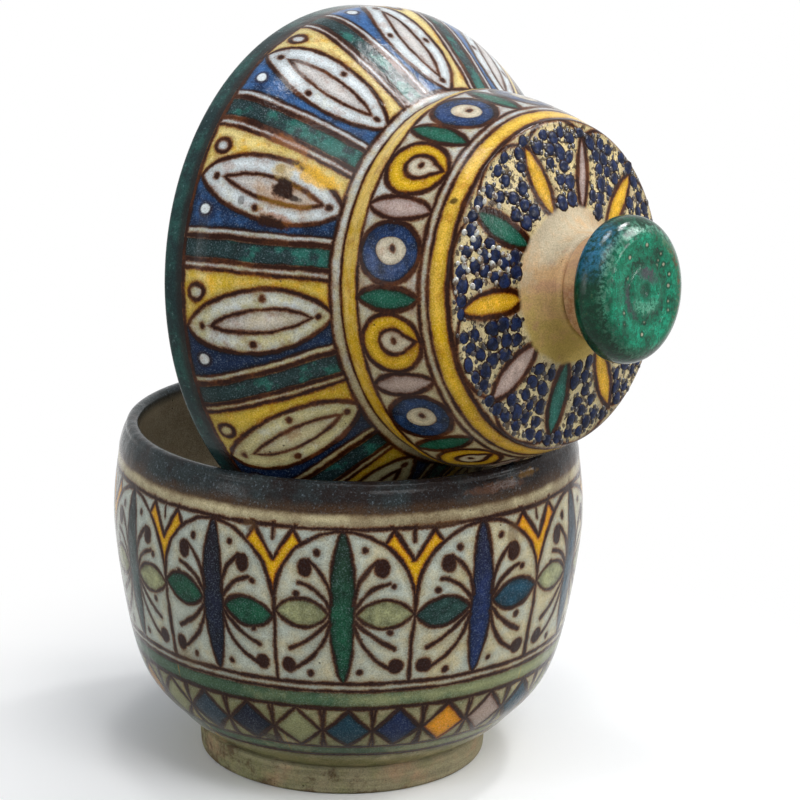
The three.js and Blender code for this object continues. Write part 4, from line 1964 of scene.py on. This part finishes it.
@dataclass
class Spots:
    """The raised blue spots and dark beads between the petals of the lid's plate."""

    first_arc: float = 124.8
    last_arc: float = 157.5
    seed: int = 11
    tries: int = 12000
    margin: float = 2
    dense_radius: float = 62
    spot_room: float = 3.1
    spot_spacing: float = 5.1
    spot_sizes: tuple[float, float] = (2.3, 3.05)
    beads_each: int = 10
    bead_room: float = 1.6
    bead_spacing: float = 2.5
    bead_gaps: tuple[float, float] = (0.1, 0.9)
    bead_sizes: tuple[float, float] = (0.85, 1.35)
    stretches: tuple[float, float] = (0.8, 1.25)
    edge_swell: float = 1.14
    grey_swell: float = 1.2
    grey_side: tuple[float, float] = (222, 264)
    grey_end: float = 150
    map_width: float = 140
    spots: list[tuple[float, float, float]] = field(default_factory=list)
    beads: list[tuple[float, float, float]] = field(default_factory=list)

    @staticmethod
    def on_petal(bearing: float, arc: float, radius: float, room: float) -> bool:
        """Whether a place in degrees and millimetres lies on a petal or within the given room of it.

        Args:
            bearing: Bearing in degrees.
            arc: Arc length in millimetres.
            radius: Distance from the lid's axis.
            room: Room to keep round a petal.

        Returns:
            Whether it lies there.
        """
        petals = PLATE_PETALS
        step = 360 / petals.count
        swing = 1 - math.cos(math.radians(bearing - petals.crowded_at))
        swung = bearing - petals.crowding * swing - petals.first
        across = abs((swung / step + 0.5) % 1 - 0.5) * math.radians(step) * radius
        t = (arc - petals.foot) / (petals.tip - petals.foot)
        return 0 < t < 1 and across < petals.half_width * (4 * t * (1 - t)) ** petals.roundness + room

    def scatter(self, outline: Outline) -> None:
        """Chooses where the spots and beads lie, the same on every run.

        Args:
            outline: The lid's profile.
        """
        chance = random.Random(self.seed)
        places: list[Vector] = []
        bead_places: list[Vector] = []

        def where(bearing: float, arc: float) -> Vector:
            """The place of a bearing and an arc length.

            Args:
                bearing: Bearing in degrees.
                arc: Arc length in millimetres.

            Returns:
                The place on the lid, in its own frame.
            """
            point = outline.place(arc)[0]
            turn = math.radians(bearing)
            return Vector((point.x * math.cos(turn), point.x * math.sin(turn), point.y))

        for _ in range(self.tries):
            bearing = chance.uniform(0, 360)
            arc = chance.uniform(self.first_arc + self.margin, self.last_arc - self.margin)
            place = where(bearing, arc)
            radius = math.hypot(place.x, place.y)
            skipped = chance.random() > radius / self.dense_radius
            if skipped or self.on_petal(bearing, arc, radius, self.spot_room):
                continue
            if all((place - other).length > self.spot_spacing for other in places):
                places.append(place)
                self.spots.append((bearing, arc, chance.uniform(*self.spot_sizes)))
        for bearing, arc, size in self.spots:
            for _ in range(self.beads_each):
                turn = chance.uniform(0, FULL_TURN)
                gap = size + chance.uniform(*self.bead_gaps)
                radius = outline.place(arc)[0].x
                b = bearing + math.degrees(math.cos(turn) * gap / radius)
                a = arc + math.sin(turn) * gap
                if not self.first_arc < a < self.last_arc or self.on_petal(b, a, radius, self.bead_room):
                    continue
                place = where(b, a)
                if all((place - other).length > self.bead_spacing for other in bead_places):
                    bead_places.append(place)
                    self.beads.append((b, a, chance.uniform(*self.bead_sizes)))

    def drops(
        self,
        name: str,
        places: list[tuple[float, float, float]],
        flatness: float,
        ragged: float,
        outline: Outline,
        stand: Stand,
        finish: bpy.types.Material,
    ) -> bpy.types.Object:
        """Sets a low drop of glaze at each place, square to the plate.

        Args:
            name: The piece's name.
            places: Bearing, arc length and size of each drop.
            flatness: Its height as a share of its size.
            ragged: How far its edge strays, as a share of its size.
            outline: The lid's profile.
            stand: Where the lid's axis stands.
            finish: The material that covers it.

        Returns:
            The new object.
        """
        chance = random.Random(len(places))
        bm = bmesh.new()
        mesh = bpy.data.meshes.new("drop")
        for bearing, arc, size in places:
            point, along = outline.place(arc)
            turn = Matrix.Rotation(math.radians(bearing), 4, "Z")
            outwards = Vector((-along.y, 0, along.x)) if along.x > 0 else Vector((along.y, 0, -along.x))
            lie = outwards.to_track_quat("Z", "Y").to_matrix().to_4x4()
            spin = Matrix.Rotation(chance.uniform(0, FULL_TURN), 4, "Z")
            length = size * chance.uniform(*self.stretches)
            stretch = Matrix.Diagonal((length, size, size * flatness, 1))
            spot = Matrix.Translation((point.x, 0, point.y))
            drop = bmesh.new()
            bmesh.ops.create_uvsphere(drop, u_segments=10, v_segments=6, radius=1)
            lobes, phase = chance.choice((2, 3)), chance.uniform(0, FULL_TURN)
            for vert in drop.verts:
                vert.co.xy *= 1 + ragged * math.sin(lobes * math.atan2(vert.co.y, vert.co.x) + phase)
            bmesh.ops.transform(drop, matrix=turn @ spot @ lie @ spin @ stretch, verts=drop.verts)
            drop.to_mesh(mesh)
            drop.free()
            bm.from_mesh(mesh)
        bpy.data.meshes.remove(mesh)
        kept = bm.loops.layers.uv.new("OFBake")
        wrap = bm.loops.layers.uv.new("wrap")
        for face in bm.faces:
            for loop in face.loops:
                loop[kept].uv = loop.vert.co.xy / self.map_width + Vector((0.5, 0.5))
                loop[wrap].uv = loop[kept].uv
        bmesh.ops.recalc_face_normals(bm, faces=bm.faces)
        bmesh.ops.transform(bm, matrix=stand.matrix, verts=bm.verts)
        thing = keep_mesh(name, bm, finish)
        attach(thing, "lid")
        return thing

    def build(self, outline: Outline, stand: Stand) -> list[bpy.types.Object]:
        """Makes the spots and the beads, riding on the lid.

        Args:
            outline: The lid's profile.
            stand: Where the lid's axis stands.

        Returns:
            The four pieces.
        """
        self.scatter(outline)
        blue = SpotPaint("blue spots", FLAT_SPOT).dress(Tone.SPOT_BLUE, Tone.NAVY)
        brown = SpotPaint("brown spot edges", FLAT_SPOT).dress(Tone.INK, Tone.BURNT)
        dark = SpotPaint("dark beads", BEADED).dress(Tone.BEAD, Tone.BURNT)
        grey = SpotPaint("grey glinting beads", BEADED).dress(Tone.PALE_GLINT_BEAD, Tone.CLAY_DARK)
        edges = [(bearing, arc, size * self.edge_swell) for bearing, arc, size in self.spots]
        # Beads on the side between these bearings are grey glaze, painted paler and larger as painted glints.
        low, high = self.grey_side
        glinting = [bead for bead in self.beads if low < bead[0] < high and bead[1] < self.grey_end]
        rest = [bead for bead in self.beads if bead not in glinting]
        pale = [(bearing, arc, size * self.grey_swell) for bearing, arc, size in glinting]
        return [
            self.drops("blue_spots", self.spots, 0.13, 0.08, outline, stand, blue),
            self.drops("brown_spot_edges", edges, 0.05, 0.1, outline, stand, brown),
            self.drops("dark_beads", rest, 0.38, 0.05, outline, stand, dark),
            self.drops("grey_glinting_beads", pale, 0.45, 0.05, outline, stand, grey),
        ]


@dataclass(frozen=True)
class Lamp:
    """A soft square lamp: its place and side in metres, and how much of a full white it adds at the pot.

    A shine lamp shows in the gloss alone and adds no light to the colours.
    """

    name: str
    place: tuple[float, float, float]
    size: float
    level: float
    shine: bool = False


@dataclass
class Studio:
    """Camera, floor, world and lamps."""

    LAMPS = (
        Lamp("key", (0.6, -1.0, 1.55), 0.8, 0.41),
        Lamp("top", (0.6, 0.35, 1.3), 0.35, 0.05),
        Lamp("fill", (-1.25, -0.73, 0.57), 0.6, 0.07),
        Lamp("side", (1.2, -0.6, 0.35), 0.4, 0.06),
        Lamp("overhead", (-0.1, -0.75, 1.6), 0.3, 0.04),
        Lamp("dome glint", (0.62, 0.32, 1.32), 0.12, 0.19),
        Lamp("knob glint", (1.35, 0.12, 1.1), 0.32, 0.18),
        Lamp("bead glint", (1.5, -0.15, 0.45), 0.22, 0.1),
        Lamp("ring glint", (-1.25, -0.73, 0.57), 0.18, 0.1),
        Lamp("lip glint", (-0.05, -0.05, 1.8), 0.2, 0.12),
        Lamp("dome shine", (0.62, 0.32, 1.32), 0.26, 0.5, shine=True),
        Lamp("knob shine", (1.35, 0.12, 1.1), 0.5, 0.7, shine=True),
        Lamp("bead shine", (1.5, -0.15, 0.45), 0.2, 0.09, shine=True),
        Lamp("ring shine", (-1.25, -0.73, 0.57), 0.3, 0.35, shine=True),
        Lamp("lip shine", (-0.05, -0.05, 1.8), 0.4, 0.5, shine=True),
    )
    camera_place: Vector = field(default_factory=lambda: Vector((0.006258, -1.140871, 0.47513)))
    pitch: float = 0.2713
    roll: float = -0.0176
    focal_pixels: float = 2815.96
    frame_pixels: float = 800
    sensor: float = 36
    sky: tuple[float, ...] = (0.39, 0.41, 0.435, 1)
    bounce: tuple[float, ...] = (0.36, 0.33, 0.24, 1)
    shadow_reach: tuple[float, float] = (0.1, 0.27)
    middle: Vector = field(default_factory=lambda: Vector((0, 0, 0.17)))
    floor_radius: float = 6
    floor_sides: int = 96
    clip: tuple[float, float] = (0.05, 50)

    @staticmethod
    def seen(easel: Easel) -> Field:
        """Where a ray comes straight from the camera, by reflection or through glass.

        Args:
            easel: The easel to draw on.

        Returns:
            The mask.
        """
        path = easel.node("ShaderNodeLightPath")
        rays = [easel.field(path.outputs[f"Is {kind} Ray"]) for kind in ("Camera", "Glossy", "Transmission")]
        return rays[0].most(rays[1]).most(rays[2])

    def camera(self) -> None:
        """Sets the camera at the photograph's viewing angle."""
        data = bpy.data.cameras.new("camera")
        data.sensor_width = self.sensor
        data.lens = self.focal_pixels / self.frame_pixels * self.sensor
        data.clip_start, data.clip_end = self.clip
        right = Vector((1, 0, 0))
        ahead = Vector((0, math.cos(self.pitch), -math.sin(self.pitch)))
        down = Vector((0, -math.sin(self.pitch), -math.cos(self.pitch)))
        rolled_right = right * math.cos(self.roll) + down * math.sin(self.roll)
        rolled_down = down * math.cos(self.roll) - right * math.sin(self.roll)
        turn = Matrix((rolled_right, -rolled_down, -ahead)).transposed()
        camera = bpy.data.objects.new("camera", data)
        camera.matrix_world = Matrix.Translation(self.camera_place) @ turn.to_4x4()
        bpy.context.scene.collection.objects.link(camera)
        bpy.context.scene.camera = camera

    def floor(self) -> None:
        """Lays a plain pale floor that shows white to the camera and keeps the pot's shadow."""
        material = bpy.data.materials.new("floor")
        material.use_nodes = True
        tree = material.node_tree
        tree.nodes.clear()
        easel = Easel(tree)
        seen = self.seen(easel)
        spot = easel.node("ShaderNodeVectorMath", operation="LENGTH")
        easel.feed(spot.inputs[0], easel.node("ShaderNodeTexCoord").outputs["Object"])
        away = easel.step(easel.field(spot.outputs["Value"]), *self.shadow_reach)
        shader = easel.node("ShaderNodeBsdfDiffuse")
        easel.feed(shader.inputs["Color"], easel.over(self.bounce, FULL_WHITE, seen))
        white = easel.node("ShaderNodeEmission")
        mix = easel.node("ShaderNodeMixShader")
        for socket, value in zip(mix.inputs, (away * seen, shader.outputs[0], white.outputs[0])):
            easel.feed(socket, value)
        easel.feed(easel.node("ShaderNodeOutputMaterial").inputs["Surface"], mix.outputs[0])
        bm = bmesh.new()
        bmesh.ops.create_circle(bm, cap_ends=True, segments=self.floor_sides, radius=self.floor_radius)
        floor = keep_mesh("floor", bm, material)

    def world(self) -> None:
        """Lights from all round, and shows white behind the pot."""
        world = bpy.data.worlds.new("studio")
        world.use_nodes = True
        tree = world.node_tree
        tree.nodes.clear()
        easel = Easel(tree)
        light = easel.node("ShaderNodeBackground")
        easel.feed(light.inputs["Color"], easel.over(self.sky, FULL_WHITE, self.seen(easel)))
        easel.feed(easel.node("ShaderNodeOutputWorld").inputs["Surface"], light.outputs[0])
        bpy.context.scene.world = world

    def hang(self, lamp: Lamp) -> None:
        """Hangs a lamp and points it at the pot's middle.

        Args:
            lamp: The lamp.
        """
        place = Vector(lamp.place)
        way = self.middle - place
        data = bpy.data.lights.new(lamp.name, "AREA")
        data.size = lamp.size
        data.energy = lamp.level * math.pi**2 * way.length_squared
        thing = bpy.data.objects.new(lamp.name, data)
        thing.visible_diffuse = not lamp.shine
        thing.matrix_world = Matrix.Translation(place) @ way.to_track_quat("-Z", "Y").to_matrix().to_4x4()
        bpy.context.scene.collection.objects.link(thing)

    def build(self) -> None:
        """Sets up the whole studio."""
        bpy.context.scene.view_settings.view_transform = "Standard"
        self.camera()
        self.floor()
        self.world()
        for lamp in self.LAMPS:
            self.hang(lamp)


def mean_place(mesh: bpy.types.Mesh) -> Vector:
    """The mean of a mesh's vertices."""
    return sum((v.co for v in mesh.vertices), Vector()) / len(mesh.vertices)


def stands(frame: dict[str, object]) -> tuple[Stand, Stand, Stand]:
    """Finds where the bowl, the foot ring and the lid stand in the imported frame.


    Returns:
        The stands of the bowl, the foot ring and the lid.
    """
    nodes = frame["nodes"]
    wall, foot = (mean_place(nodes[name].data) for name in ("bowl_wall", "foot_ring"))
    shell, knob = (mean_place(nodes[name].data) for name in ("lid_shell", "lid_knob"))
    axis = (knob - shell).normalized()
    lowest = min(v.co.dot(axis) for v in nodes["lid_shell"].data.vertices)
    rim = shell + axis * (lowest - shell.dot(axis))
    return Stand.upright(wall.x, wall.y), Stand.upright(foot.x, foot.y), Stand.leaning(axis, rim)


def main() -> None:
    """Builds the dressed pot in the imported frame."""
    logging.basicConfig(level=logging.INFO, format="%(message)s")
    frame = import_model()
    Studio().build()
    bowl_stand, foot_stand, lid_stand = stands(frame)
    Bowl().build(bowl_stand, foot_stand)
    lid = Lid()
    lid.build(lid_stand)
    Knob().build(lid_stand)
    Spots().build(lid.outline(), lid_stand)
    bpy.context.view_layer.update()


if __name__ == "__main__":
    main()
